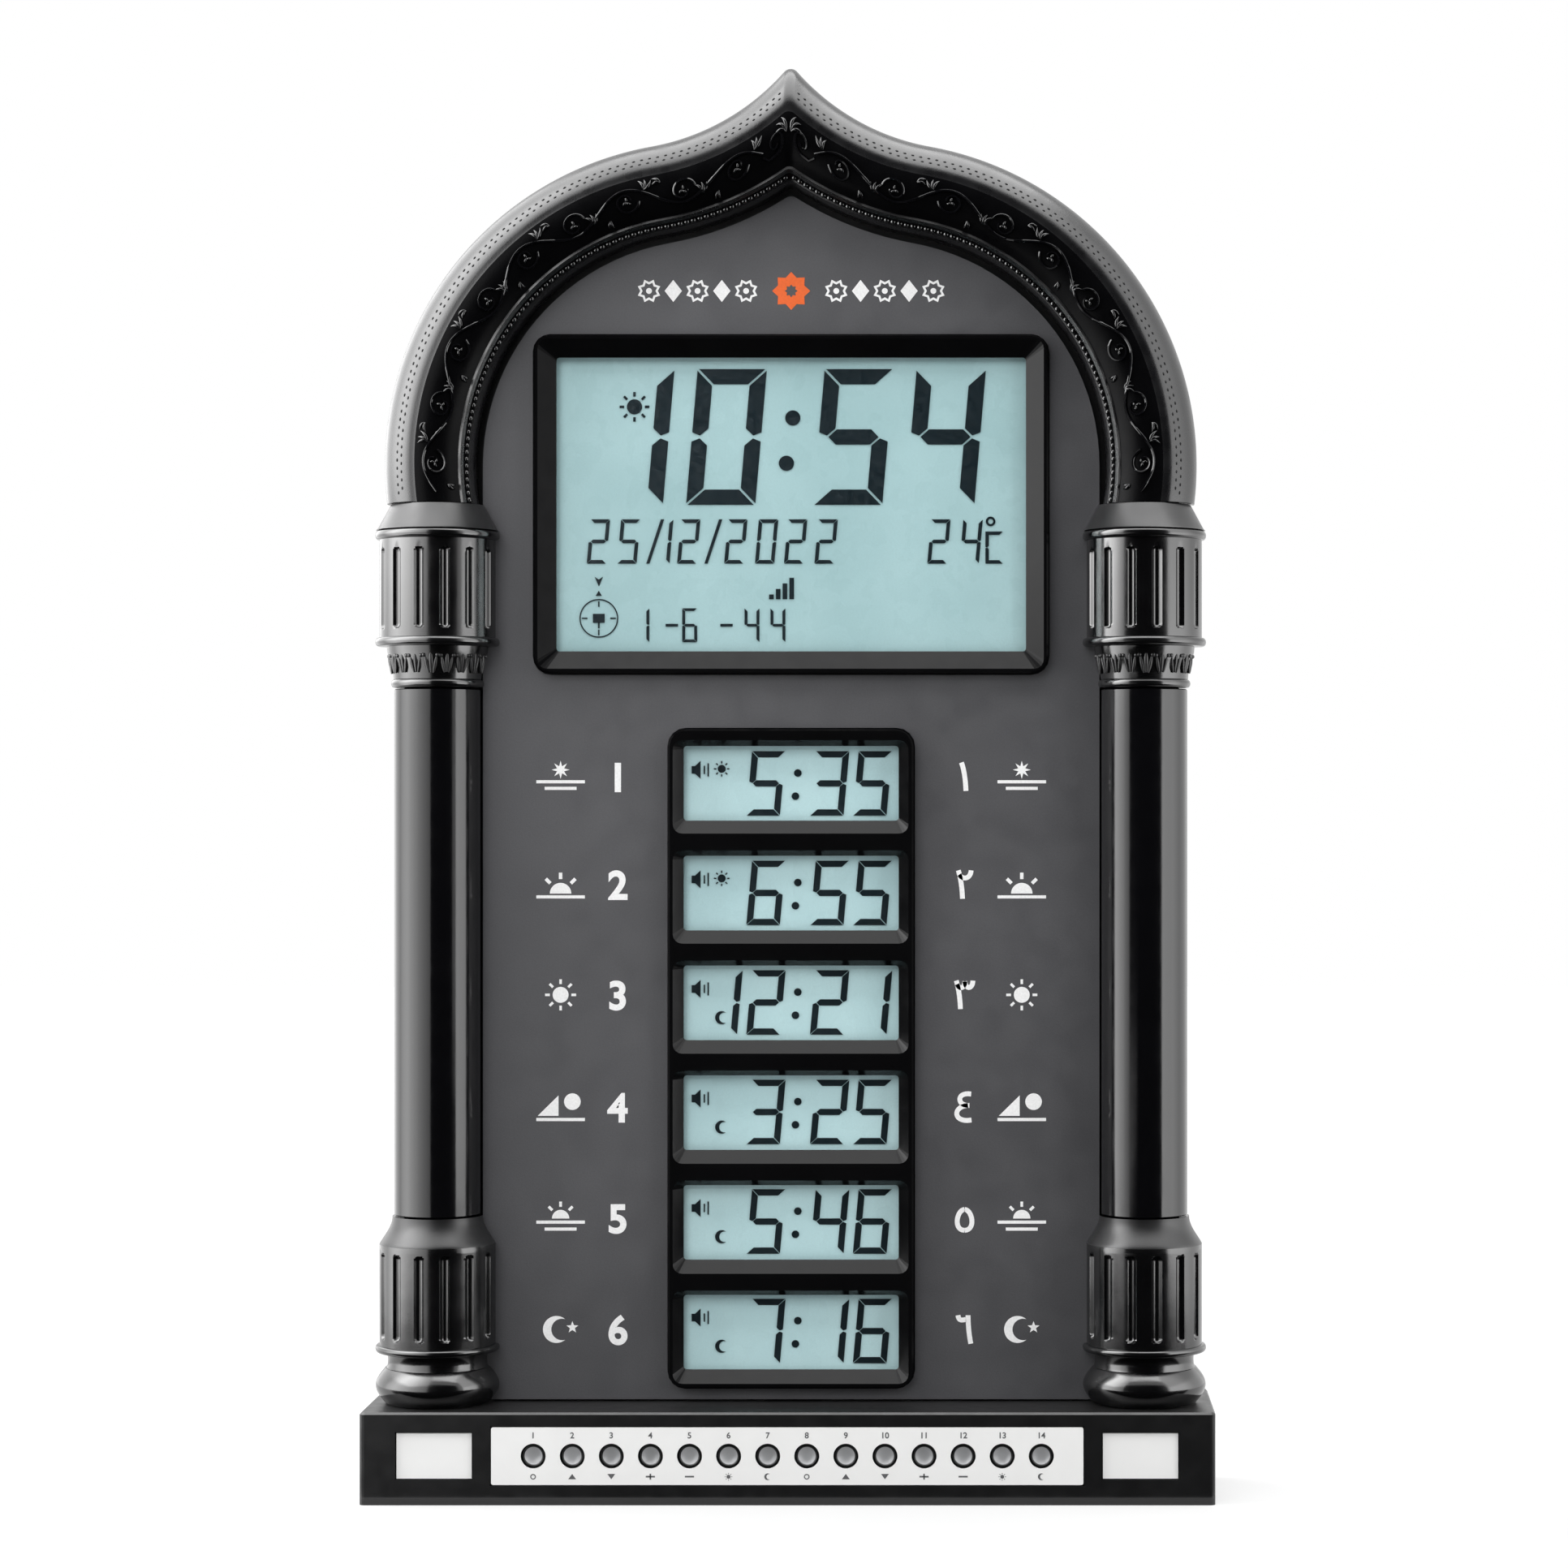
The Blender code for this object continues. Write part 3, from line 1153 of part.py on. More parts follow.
def make_key_strip(finish):
    """White strip with a hole for each key."""
    sheet = bmesh.new()
    add_prism(
        sheet, rectangle(STRIP_WIDTH, STRIP_HEIGHT, (0.0, KEY_Z)),
        BASE_FRONT_Y, BASE_FRONT_Y + STRIP_THICKNESS,
    )
    strip = add_object("key_strip", sheet, finish)
    holes = bmesh.new()
    for x in key_places():
        add_cylinder(
            holes, KEY_HOLE_RADIUS, BORE_SIDES, (x, 0.0, KEY_Z),
            BASE_FRONT_Y - OVERRUN, BASE_FRONT_Y + STRIP_THICKNESS + OVERRUN,
        )
    cut(strip, "key_strip_holes", holes)
    front_y = BASE_FRONT_Y + INLAY_RECESS
    for side, name in ((-1, "inlay_left"), (1, "inlay_right")):
        plate = bmesh.new()
        add_prism(
            plate, rectangle(INLAY_WIDTH, INLAY_HEIGHT, (side * INLAY_X, KEY_Z)),
            front_y, front_y + INLAY_THICKNESS,
        )
        add_object(name, plate, finish)


def make_keys(finish, parent):
    """Fourteen push keys: a cap, a flange behind the wall and a stem."""
    cap_edge = KEY_RECESS / 2
    front = BASE_FRONT_Y + KEY_RECESS
    profile = [
        (0.0, 0.0), (KEY_CAP_RADIUS - cap_edge, 0.0), (KEY_CAP_RADIUS, cap_edge),
        (KEY_CAP_RADIUS, KEY_FLANGE_Y - front), (KEY_FLANGE_RADIUS, KEY_FLANGE_Y - front),
        (KEY_FLANGE_RADIUS, KEY_FLANGE_Y + KEY_FLANGE_THICKNESS - front),
        (KEY_STEM_RADIUS, KEY_FLANGE_Y + KEY_FLANGE_THICKNESS - front),
        (KEY_STEM_RADIUS, KEY_STEM_END_Y - front), (0.0, KEY_STEM_END_Y - front),
    ]
    for index, x in enumerate(key_places()):
        key = bmesh.new()
        add_turned(key, profile, KEY_SIDES, (0.0, 0.0, 0.0))
        made = add_object(f"button_{index + 1:02d}", key, finish, (x, front, KEY_Z))
        made.parent = parent


def make_key_mat(finish):
    """Silicone sheet with a guiding collar for each key's stem."""
    width = KEY_PITCH * (KEY_COUNT - 1) + (KEY_STEM_RADIUS + GAP + COLLAR_WALL) * 4
    sheet = bmesh.new()
    add_prism(sheet, rectangle(width, MAT_HEIGHT, (0.0, KEY_Z)), MAT_FRONT_Y, MAT_BACK_Y)
    mat = add_object("key_mat", sheet, finish)
    inner = KEY_STEM_RADIUS + GAP
    outer = inner + COLLAR_WALL
    root_y = MAT_FRONT_Y + MAT_THICKNESS / 2
    collars = bmesh.new()
    for x in key_places():
        profile = (
            (outer, COLLAR_FRONT_Y), (outer, root_y), (inner, root_y), (inner, COLLAR_FRONT_Y)
        )
        loops = [
            [(x + across, y, KEY_Z + up) for across, up in circle(radius, BOSS_SIDES)]
            for radius, y in profile
        ]
        add_loft(collars, loops, ring=True)
    join(mat, "key_mat_collars", collars)
    return mat


def add_board(name, width, height, centre_z, front_y, hole_places, finish):
    """Circuit board with a clearance hole for each of its heat stakes."""
    board = add_plate(name, width, height, centre_z, front_y, front_y + PCB_THICKNESS, finish)
    holes = bmesh.new()
    for x, z in hole_places:
        add_cylinder(
            holes, STAKE_RADIUS + GAP, BOSS_SIDES, (x, 0.0, z),
            front_y - OVERRUN, front_y + PCB_THICKNESS + OVERRUN,
        )
    cut(board, name + "_holes", holes)
    return board


def make_boards(finish):
    """The two display boards and the key board."""
    places = board_boss_places()
    count = len(signs())
    add_board(
        "main_pcb", MAIN_PCB_WIDTH, MAIN_PCB_HEIGHT, MAIN_CENTRE_Z, PCB_FRONT_Y,
        places[:count], finish,
    )
    add_board(
        "row_pcb", ROW_PCB_WIDTH, ROW_PCB_HEIGHT, ROW_MIDDLE_Z, PCB_FRONT_Y,
        places[count:], finish,
    )
    add_board(
        "key_pcb", KEY_PCB_HALF_WIDTH * 2, KEY_PCB_HEIGHT, KEY_Z, KEY_PCB_FRONT_Y,
        [(side * KEY_BOSS_X, KEY_Z) for side in (-1, 1)], finish,
    )


def make_speaker(finishes):
    """Loudspeaker basket with its magnet, and the cone, facing the grille."""
    centre = (SPEAKER_X, 0.0, SPEAKER_Z)
    rim_y = CASE_INNER_BACK_Y - GAP
    rim_inner = SPEAKER_RADIUS - SPEAKER_RIM
    back_y = rim_y - SPEAKER_DEPTH
    profile = [
        (0.0, back_y - MAGNET_THICKNESS), (MAGNET_RADIUS, back_y - MAGNET_THICKNESS),
        (MAGNET_RADIUS, back_y), (SPEAKER_NECK_RADIUS, back_y), (rim_inner, rim_y - SPEAKER_RIM_THICKNESS),
        (SPEAKER_RADIUS, rim_y - SPEAKER_RIM_THICKNESS), (SPEAKER_RADIUS, rim_y),
        (rim_inner, rim_y), (rim_inner, rim_y - SPEAKER_WALL),
        (SPEAKER_NECK_RADIUS - SPEAKER_WALL / 2, back_y + SPEAKER_WALL),
        (0.0, back_y + SPEAKER_WALL),
    ]
    basket = bmesh.new()
    add_turned(basket, profile, SPEAKER_SIDES, centre)
    add_object("speaker_frame", basket, finishes["steel"])
    edge_y = rim_y - SPEAKER_WALL / 2
    dome_y = edge_y - SPEAKER_DEPTH * CONE_DEPTH_SHARE
    paper = SPEAKER_WALL / 2
    profile = [
        (0.0, dome_y), (SPEAKER_DOME_RADIUS, dome_y), (rim_inner - GAP, edge_y),
        (rim_inner - GAP, edge_y + paper), (SPEAKER_DOME_RADIUS, dome_y + paper),
        (SPEAKER_DOME_RADIUS / 2, dome_y + paper * 3), (0.0, dome_y + paper * 4),
    ]
    cone = bmesh.new()
    add_turned(cone, profile, SPEAKER_SIDES, centre)
    add_object("speaker_cone", cone, finishes["paper"])


def cell_heights():
    """Heights of the two cells."""
    offset = CELL_RADIUS + GAP / 2
    return (BAY_CENTRE_Z + offset, BAY_CENTRE_Z - offset)


def add_contact(name, start, turn, heights, spring_height, finish):
    """Contact plate across one or two cells, with a pad that meets a cell's foot."""
    half = CONTACT_WIDTH / 2
    pad = CONTACT_SPRING_RADIUS
    face = start + turn * (GAP + CONTACT_PLATE)
    plate = bmesh.new()
    add_box(
        plate, sorted((start + turn * GAP, face)), (CELL_Y - half, CELL_Y + half),
        (min(heights) - half, max(heights) + half),
    )
    contact = add_object(name, plate, finish)
    if spring_height is not None:
        spring = bmesh.new()
        add_box(
            spring,
            sorted((face - turn * CONTACT_PLATE / 2, face + turn * CONTACT_SPRING_LENGTH)),
            (CELL_Y - pad, CELL_Y + pad), (spring_height - pad, spring_height + pad),
        )
        join(contact, name + "_spring", spring)
    return contact


def make_batteries(finishes):
    """Two cells laid head to tail, their bridge and their two end contacts."""
    upper, lower = cell_heights()
    for index, (z, turn) in enumerate(((upper, 1), (lower, -1))):
        start = BAY_OUTER_X if turn > 0 else BAY_INNER_X
        cell_start = GAP + CONTACT_PLATE + CONTACT_SPRING_LENGTH + GAP
        cell_end = cell_start + CELL_LENGTH
        nub_end = cell_end + CELL_NUB_LENGTH
        profile = [
            (0.0, turn * cell_start), (CELL_RADIUS, turn * cell_start),
            (CELL_RADIUS, turn * cell_end), (CELL_NUB_RADIUS, turn * cell_end),
            (CELL_NUB_RADIUS, turn * nub_end), (0.0, turn * nub_end),
        ]
        cell = bmesh.new()
        add_turned(cell, profile, CELL_SIDES, (start, CELL_Y, z), "X")
        add_object(f"battery_{index + 1}", cell, finishes["cell"])
    nickel = finishes["nickel"]
    add_contact("contact_bridge", BAY_OUTER_X, 1, (upper, lower), upper, nickel)
    add_contact("contact_plus", BAY_INNER_X, -1, (upper,), None, nickel)
    add_contact("contact_minus", BAY_INNER_X, -1, (lower,), lower, nickel)


def make_battery_door(finish, parent):
    """Door plate with a hinge barrel and two pins, written about its hinge axis."""
    half = DOOR_HEIGHT / 2
    plate = bmesh.new()
    front = DOOR_FRONT_Y - HINGE_Y
    add_box(plate, (0.0, DOOR_END_X - HINGE_X), (front, front + DOOR_THICKNESS), (-half, half))
    door = add_object(
        "battery_door", plate, finish, (HINGE_X, HINGE_Y, BAY_CENTRE_Z)
    )
    pin_end = half + HINGE_PIN_LENGTH
    profile = [
        (0.0, -pin_end), (HINGE_PIN_RADIUS, -pin_end), (HINGE_PIN_RADIUS, -half),
        (HINGE_RADIUS, -half), (HINGE_RADIUS, half), (HINGE_PIN_RADIUS, half),
        (HINGE_PIN_RADIUS, pin_end), (0.0, pin_end),
    ]
    barrel = bmesh.new()
    add_turned(barrel, profile, BORE_SIDES, (0.0, 0.0, 0.0), "Z")
    hinge = add_object("battery_door_barrel", barrel, None, door.location)
    shape(door, hinge, "UNION")
    door.parent = parent
    hinge.parent = parent
    return door


def make_dc_jack(finish):
    """Round power inlet with its centre pin."""
    inner_y = CASE_INNER_BACK_Y - GAP
    bore_y = CASE_BACK_Y - JACK_BORE_DEPTH
    flange = JACK_RADIUS + JACK_FLANGE
    profile = [
        (0.0, CASE_BACK_Y - JACK_PIN_SINK), (JACK_PIN_RADIUS, CASE_BACK_Y - JACK_PIN_SINK),
        (JACK_PIN_RADIUS, bore_y), (JACK_BORE_RADIUS, bore_y), (JACK_BORE_RADIUS, CASE_BACK_Y),
        (JACK_RADIUS, CASE_BACK_Y), (JACK_RADIUS, inner_y), (flange, inner_y),
        (flange, inner_y - JACK_FLANGE_THICKNESS), (JACK_RADIUS, inner_y - JACK_FLANGE_THICKNESS),
        (JACK_RADIUS, CASE_BACK_Y - JACK_LENGTH), (0.0, CASE_BACK_Y - JACK_LENGTH),
    ]
    jack = bmesh.new()
    add_turned(jack, profile, JACK_SIDES, (JACK_X, 0.0, JACK_Z))
    return add_object("dc_jack", jack, finish)


def make_screws(finish):
    """Four screws that close the case."""
    seat_y = CASE_BACK_Y - SCREW_HEAD_HEIGHT
    profile = [
        (0.0, CASE_BACK_Y), (SCREW_HEAD_RADIUS, CASE_BACK_Y), (SCREW_HEAD_RADIUS, seat_y),
        (SCREW_SHANK_RADIUS, seat_y), (SCREW_SHANK_RADIUS, seat_y - SCREW_LENGTH),
        (0.0, seat_y - SCREW_LENGTH),
    ]
    for index, (x, z) in enumerate(case_boss_places()):
        screw = bmesh.new()
        add_turned(screw, profile, BORE_SIDES, (x, 0.0, z))
        add_object(f"case_screw_{index + 1}", screw, finish)


def smooth_path(points, steps):
    """Points along a smooth curve that passes through chosen points."""
    path = []
    last = len(points) - 1
    for index in range(last):
        before = points[max(index - 1, 0)]
        start = points[index]
        end = points[index + 1]
        after = points[min(index + 2, last)]
        for step in range(steps):
            t = step / steps
            path.append(tuple(
                (2 * b + (c - a) * t + (2 * a - 5 * b + 4 * c - d) * t ** 2
                 + (3 * b - a - 3 * c + d) * t ** 3) / 2
                for a, b, c, d in zip(before, start, end, after)
            ))
    path.append(tuple(points[-1]))
    return path


def make_key_ribbon(finish):
    """Flat cable from the row board down through the base to the key board."""
    board_y = PCB_BACK_Y + GAP + RIBBON_THICKNESS / 2
    key_y = KEY_PCB_BACK_Y + GAP + RIBBON_THICKNESS / 2
    board_foot = ROW_MIDDLE_Z - ROW_PCB_HEIGHT / 2
    case_inner = CASE_FOOT_Z + CASE_WALL
    points = [
        (board_y, board_foot + RIBBON_LAP),
        (board_y + RIBBON_THICKNESS, board_foot + RIBBON_LAP / 2),
        (RIBBON_DROP_Y, case_inner + GAP), (RIBBON_DROP_Y, BASE_HEIGHT - BASE_WALL * 2),
        (RIBBON_DROP_Y * 2 / 3, RIBBON_SAG_Z * 3 / 2), (0.0, RIBBON_SAG_Z),
        (key_y * 2 / 3, RIBBON_SAG_Z), (key_y + RIBBON_THICKNESS * 2, KEY_Z),
        (key_y, KEY_Z + RIBBON_LAP / 3),
    ]
    path = smooth_path(points, RIBBON_STEPS)
    left = []
    right = []
    for index, (y, z) in enumerate(path):
        ahead = path[min(index + 1, len(path) - 1)]
        behind = path[max(index - 1, 0)]
        run = (ahead[0] - behind[0], ahead[1] - behind[1])
        reach = RIBBON_THICKNESS / 2 / math.hypot(*run)
        left.append((y - run[1] * reach, z + run[0] * reach))
        right.append((y + run[1] * reach, z - run[0] * reach))
    half = RIBBON_WIDTH / 2
    ribbon = bmesh.new()
    loops = [
        [(-half, *one), (half, *one), (half, *other), (-half, *other)]
        for one, other in zip(left, right)
    ]
    add_loft(ribbon, loops)
    return add_object("key_ribbon", ribbon, finish)


def make_finishes():
    """All materials by name."""
    return {
        "satin": material("satin black ABS", "232325", 0.42),
        "gloss": material("glossy black ABS", "131315", 0.16),
        "shell": material("black ABS shell", "19191b", 0.38),
        "panel": material("grey printed sheet", "4b4b4d", 0.55),
        "clear": material("clear acrylic", "e8eef0", 0.05),
        "lcd": material("display glass", "adcfd4", 0.22),
        "guide": material("white light guide", "f2f4f2", 0.4),
        "board": material("green circuit board", "1d5a34", 0.5),
        "silicone": material("grey silicone", "8e9090", 0.7),
        "key": material("grey key plastic", "8d8d8f", 0.35),
        "print": material("white styrene", "f1f1ef", 0.45),
        "steel": material("zinc plated steel", "b9bcc0", 0.35, 1.0),
        "paper": material("black paper cone", "2b2a29", 0.85),
        "cell": material("cell wrap", "6c7076", 0.35, 0.4),
        "nickel": material("nickel strip", "c9c6bd", 0.3, 1.0),
        "wire": material("wire insulation", "b7b9bc", 0.6),
        "inlet": material("black nylon", "141415", 0.5),
    }


def add_empty(name):
    """Empty that groups the pieces of one assembly."""
    empty = bpy.data.objects.new(name, None)
    bpy.context.collection.objects.link(empty)
    return empty


def main():
    """Clear the scene and build the clock."""
    for leftover in list(bpy.data.objects):
        bpy.data.objects.remove(leftover, do_unlink=True)
    finishes = make_finishes()
    keypad = add_empty("keypad")
    bay = add_empty("battery_bay")
    make_front_housing(finishes["shell"])
    make_rear_cover(finishes["shell"])
    make_base_housing(finishes["shell"])
    make_base_cover(finishes["shell"])
    make_columns(finishes)
    make_arch_moulding(finishes["satin"])
    make_face_panel(finishes["panel"])
    make_main_display(finishes)
    make_row_displays(finishes)
    make_boards(finishes["board"])
    make_key_strip(finishes["print"])
    make_keys(finishes["key"], keypad)
    make_key_mat(finishes["silicone"])
    make_speaker(finishes)
    make_batteries(finishes)
    make_battery_door(finishes["shell"], bay)
    make_dc_jack(finishes["inlet"])
    make_screws(finishes["steel"])
    make_key_ribbon(finishes["wire"])


main()
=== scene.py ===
"""Looks of a pointed-arch prayer clock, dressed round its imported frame.

Lengths are in metres in the frame's own axes: X to the viewer's right, Y from the
front to the back, and Z up. The face looks towards -Y.
"""

import logging
import math
from collections.abc import Callable, Sequence
from dataclasses import dataclass
from enum import Enum
from functools import cache

import bmesh
import bpy
from mathutils import Matrix, Vector


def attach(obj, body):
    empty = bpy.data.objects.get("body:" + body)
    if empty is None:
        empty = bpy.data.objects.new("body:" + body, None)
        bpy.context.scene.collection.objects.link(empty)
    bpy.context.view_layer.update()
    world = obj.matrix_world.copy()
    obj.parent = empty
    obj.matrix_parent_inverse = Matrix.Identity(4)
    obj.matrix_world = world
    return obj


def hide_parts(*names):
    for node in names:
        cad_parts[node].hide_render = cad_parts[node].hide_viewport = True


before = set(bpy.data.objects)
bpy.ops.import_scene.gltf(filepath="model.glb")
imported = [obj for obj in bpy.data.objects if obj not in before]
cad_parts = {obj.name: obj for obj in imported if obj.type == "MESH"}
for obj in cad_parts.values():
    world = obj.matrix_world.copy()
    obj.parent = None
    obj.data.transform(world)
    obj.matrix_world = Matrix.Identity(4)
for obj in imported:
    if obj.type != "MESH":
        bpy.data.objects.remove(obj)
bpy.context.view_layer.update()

LOG = logging.getLogger("clock")
MM = 0.001
ROOT_BODY = "clock"
WHITE = (1.0, 1.0, 1.0, 1.0)
BLACK = (0.0, 0.0, 0.0, 1.0)

Point2 = tuple[float, float]
Point3 = tuple[float, float, float]
Colour = tuple[float, float, float, float]
Line = Sequence[Point2]
Mesh = bpy.types.Mesh
Tree = bpy.types.NodeTree
Socket = bpy.types.NodeSocket
Inputs = dict[str | int, object]


# Shared tools


def linear(hex_colour: str, share: float = 1.0) -> Colour:
    """Turn an sRGB hex colour into linear light.

    Args:
        hex_colour: Six hex digits, such as "1b1b1b".
        share: What the light is multiplied by, to make it darker or lighter.

    Returns:
        Linear red, green, blue and an alpha of one.
    """
    parts = (int(hex_colour[index:index + 2], 16) / 255 for index in (0, 2, 4))
    red, green, blue = (
        share * (part / 12.92 if part <= 0.04045 else ((part + 0.055) / 1.055) ** 2.4)
        for part in parts
    )
    return red, green, blue, 1.0


def set_inputs(node: bpy.types.Node, sockets: Inputs) -> None:
    """Set or link a node's inputs.

    Args:
        node: The node.
        sockets: Inputs by name or number, each with a value or an output to link.
    """
    for key, value in sockets.items():
        if isinstance(value, Socket):
            node.id_data.links.new(value, node.inputs[key])
        else:
            node.inputs[key].default_value = value


def add_node(
    tree: Tree, kind: str, sockets: Inputs | None = None, **settings: object
) -> bpy.types.Node:
    """Add a node.

    Args:
        tree: The tree that takes it.
        kind: Its type name.
        sockets: Inputs by name or number, each with a value or an output to link.
        settings: Attributes of the node itself.

    Returns:
        The new node.
    """
    node = tree.nodes.new(kind)
    for key, value in settings.items():
        setattr(node, key, value)
    set_inputs(node, sockets or {})
    return node


def calculate(tree: Tree, operation: str, *values: object) -> Socket:
    """Give the result of a Math node."""
    return add_node(tree, "ShaderNodeMath", dict(enumerate(values)), operation=operation).outputs[0]


def stretch(
    tree: Tree, value: Socket, low: float, high: float, start: float = 0.0, stop: float = 1.0,
    **settings: str,
) -> Socket:
    """Stretch a value that runs from start to stop, so that it runs from low to high."""
    sockets = {"Value": value, "From Min": start, "From Max": stop, "To Min": low, "To Max": high}
    return add_node(tree, "ShaderNodeMapRange", sockets, **settings).outputs["Result"]


def mix(tree: Tree, share: object, first: object, second: object, kind: str = "MIX") -> Socket:
    """Mix two colours by a share."""
    sockets = {0: share, 6: first, 7: second}
    return add_node(tree, "ShaderNodeMix", sockets, data_type="RGBA", blend_type=kind).outputs[2]


def place_in(tree: Tree) -> Socket:
    """Give the place on the object."""
    return add_node(tree, "ShaderNodeTexCoord").outputs["Object"]


def noise(
    tree: Tree, size_mm: float, detail: float, low: object = 0.0, high: object = 1.0,
    scale: Point3 = (1.0, 1.0, 1.0),
) -> Socket:
    """Spread noise of a real size between two values or two colours.

    Args:
        tree: The material's tree.
        size_mm: Size of one blotch in millimetres.
        detail: Octaves of the noise.
        low: Value or linear colour at the noise's low end.
        high: Value or linear colour at its high end.
        scale: Scale of the pattern along each axis.

    Returns:
        The output that carries the result.
    """
    placed = add_node(tree, "ShaderNodeMapping", {"Vector": place_in(tree), "Scale": scale})
    cloud = add_node(
        tree, "ShaderNodeTexNoise",
        {"Vector": placed.outputs["Vector"], "Scale": 1 / (size_mm * MM), "Detail": detail},
    ).outputs["Fac"]
    start, stop = 0.32, 0.68
    if not isinstance(low, tuple):
        return stretch(tree, cloud, low, high, start, stop)
    ramp = add_node(tree, "ShaderNodeValToRGB", {"Fac": cloud})
    for element, position, colour in zip(ramp.color_ramp.elements, (start, stop), (low, high)):
        element.position, element.color = position, colour
    return ramp.outputs["Color"]


def clouded(
    tree: Tree, size_mm: float, detail: float, hex_colour: str, dark: float, light: float
) -> Socket:
    """Cloud a colour between a darker and a lighter share of itself."""
    return noise(tree, size_mm, detail, linear(hex_colour, dark), linear(hex_colour, light))


def speckled(tree: Tree, base: Socket, size_mm: float, detail: float, uneven: float) -> Socket:
    """Multiply a colour by a fine grey speckle round one."""
    low, high = ((level, level, level, 1.0) for level in (1 - uneven, 1 + uneven))
    return mix(tree, 1.0, base, noise(tree, size_mm, detail, low, high), "MULTIPLY")


def relief(tree: Tree, height: Socket, depth_mm: float, below: Socket | None = None) -> Socket:
    """Turn a height pattern into a surface normal.

    Args:
        tree: The material's tree.
        height: Pattern between zero and one.
        depth_mm: Real depth of the pattern in millimetres.
        below: Normal of a coarser pattern under this one.

    Returns:
        The normal output.
    """
    sockets: Inputs = {"Height": height, "Distance": depth_mm * MM}
    if below is not None:
        sockets["Normal"] = below
    return add_node(tree, "ShaderNodeBump", sockets).outputs["Normal"]


# Finishes, each named for the real material


@dataclass(frozen=True)
class RealMaterial:
    """A real material, which knows what its Principled shader takes."""

    name: str

    def inputs(self, tree: Tree) -> Inputs:
        """Give the shader's inputs."""
        raise NotImplementedError

    def make(self) -> bpy.types.Material:
        """Build the material.

        Returns:
            The material.
        """
        made = bpy.data.materials.new(self.name)
        made.use_nodes = True
        set_inputs(made.node_tree.nodes["Principled BSDF"], self.inputs(made.node_tree))
        return made


@dataclass(frozen=True)
class MouldedPlastic(RealMaterial):
    """ABS or a like plastic from a steel mould.

    The mould's fine spark texture gives the eye a soft grain, and handling leaves
    slightly uneven gloss.
    """

    colour: str
    roughness: float
    grain_mm: float = 0.35
    grain_depth_mm: float = 0.006
    uneven: float = 0.04
    shine: float = 0.5
    blotch_mm: float = 16.0

    def inputs(self, tree: Tree) -> Inputs:
        """Give blotches, uneven gloss, and grain over long waves.

        Args:
            tree: The material's tree.

        Returns:
            The shader's inputs.
        """
        least = max(self.roughness - self.uneven, 0.02)
        waves = relief(tree, noise(tree, self.blotch_mm / 2, 1.0), 0.01)
        return {
            "Base Color": clouded(tree, self.blotch_mm, 3.0, self.colour, 0.88, 1.12),
            "Roughness": noise(tree, self.blotch_mm / 3, 4.0, least, self.roughness + self.uneven),
            "Normal": relief(tree, noise(tree, self.grain_mm, 2.0), self.grain_depth_mm, waves),
            "IOR": 1.53,
            "Specular IOR Level": self.shine,
        }


@dataclass(frozen=True)
class PrintedSheet(RealMaterial):
    """Polycarbonate sheet, screen printed in grey on a matt texture.

    The texture scatters light evenly, and the ink shows a very fine speckle.
    """

    colour: str
    roughness: float = 0.52

    def inputs(self, tree: Tree) -> Inputs:
        """Give speckled ink and a matt grain.

        Args:
            tree: The material's tree.

        Returns:
            The shader's inputs.
        """
        cloud = clouded(tree, 60.0, 2.0, self.colour, 0.93, 1.07)
        return {
            "Base Color": speckled(tree, cloud, 0.45, 2.0, 0.07),
            "Roughness": noise(tree, 9.0, 3.0, self.roughness - 0.05, self.roughness + 0.05),
            "Normal": relief(tree, noise(tree, 0.4, 2.0), 0.01),
            "IOR": 1.58,
        }


@dataclass(frozen=True)
class DisplayGlass(RealMaterial):
    """Reflective liquid-crystal cell, seen through its front polariser.

    The diffuser behind the cell gives a pale blue green with soft clouds and a
    fine sparkle.
    """

    cool: str
    warm: str

    def inputs(self, tree: Tree) -> Inputs:
        """Give soft clouds and a sparkle.

        Args:
            tree: The material's tree.

        Returns:
            The shader's inputs.
        """
        cloud = noise(tree, 42.0, 2.0, linear(self.cool), linear(self.warm))
        return {
            "Base Color": speckled(tree, cloud, 0.5, 1.0, 0.03),
            "Roughness": noise(tree, 8.0, 2.0, 0.24, 0.32),
            "Specular IOR Level": 0.25,
        }


@dataclass(frozen=True)
class ClearAcrylic(RealMaterial):
    """Polished acrylic window: it shows what lies behind, and a thin reflection."""

    def inputs(self, tree: Tree) -> Inputs:
        """Give a reflection that grows where the window is seen at a slant.

        Args:
            tree: The material's tree.

        Returns:
            The shader's inputs.
        """
        edge = add_node(tree, "ShaderNodeLayerWeight", {"Blend": 0.5}).outputs["Facing"]
        return {
            "Base Color": linear("fbfdfd"),
            "Metallic": 1.0,
            "Roughness": noise(tree, 30.0, 1.0, 0.02, 0.05),
            "Alpha": stretch(tree, calculate(tree, "POWER", edge, 5.0), 0.022, 0.45),
        }


@dataclass(frozen=True)
class Ink(RealMaterial):
    """Printed ink or a switched display segment: flat, with a slightly uneven lay."""

    colour: str
    roughness: float = 0.5
    speckle_mm: float = 0.6
    uneven: float = 0.07

    def inputs(self, tree: Tree) -> Inputs:
        """Give the lay of the ink in colour and height.

        Args:
            tree: The material's tree.

        Returns:
            The shader's inputs.
        """
        lay = clouded(
            tree, self.speckle_mm, 2.0, self.colour, 1 - self.uneven, 1 + self.uneven / 2
        )
        return {
            "Base Color": lay,
            "Roughness": noise(tree, 2.0, 2.0, self.roughness - 0.06, self.roughness + 0.06),
            "Normal": relief(tree, lay, 0.004),
        }


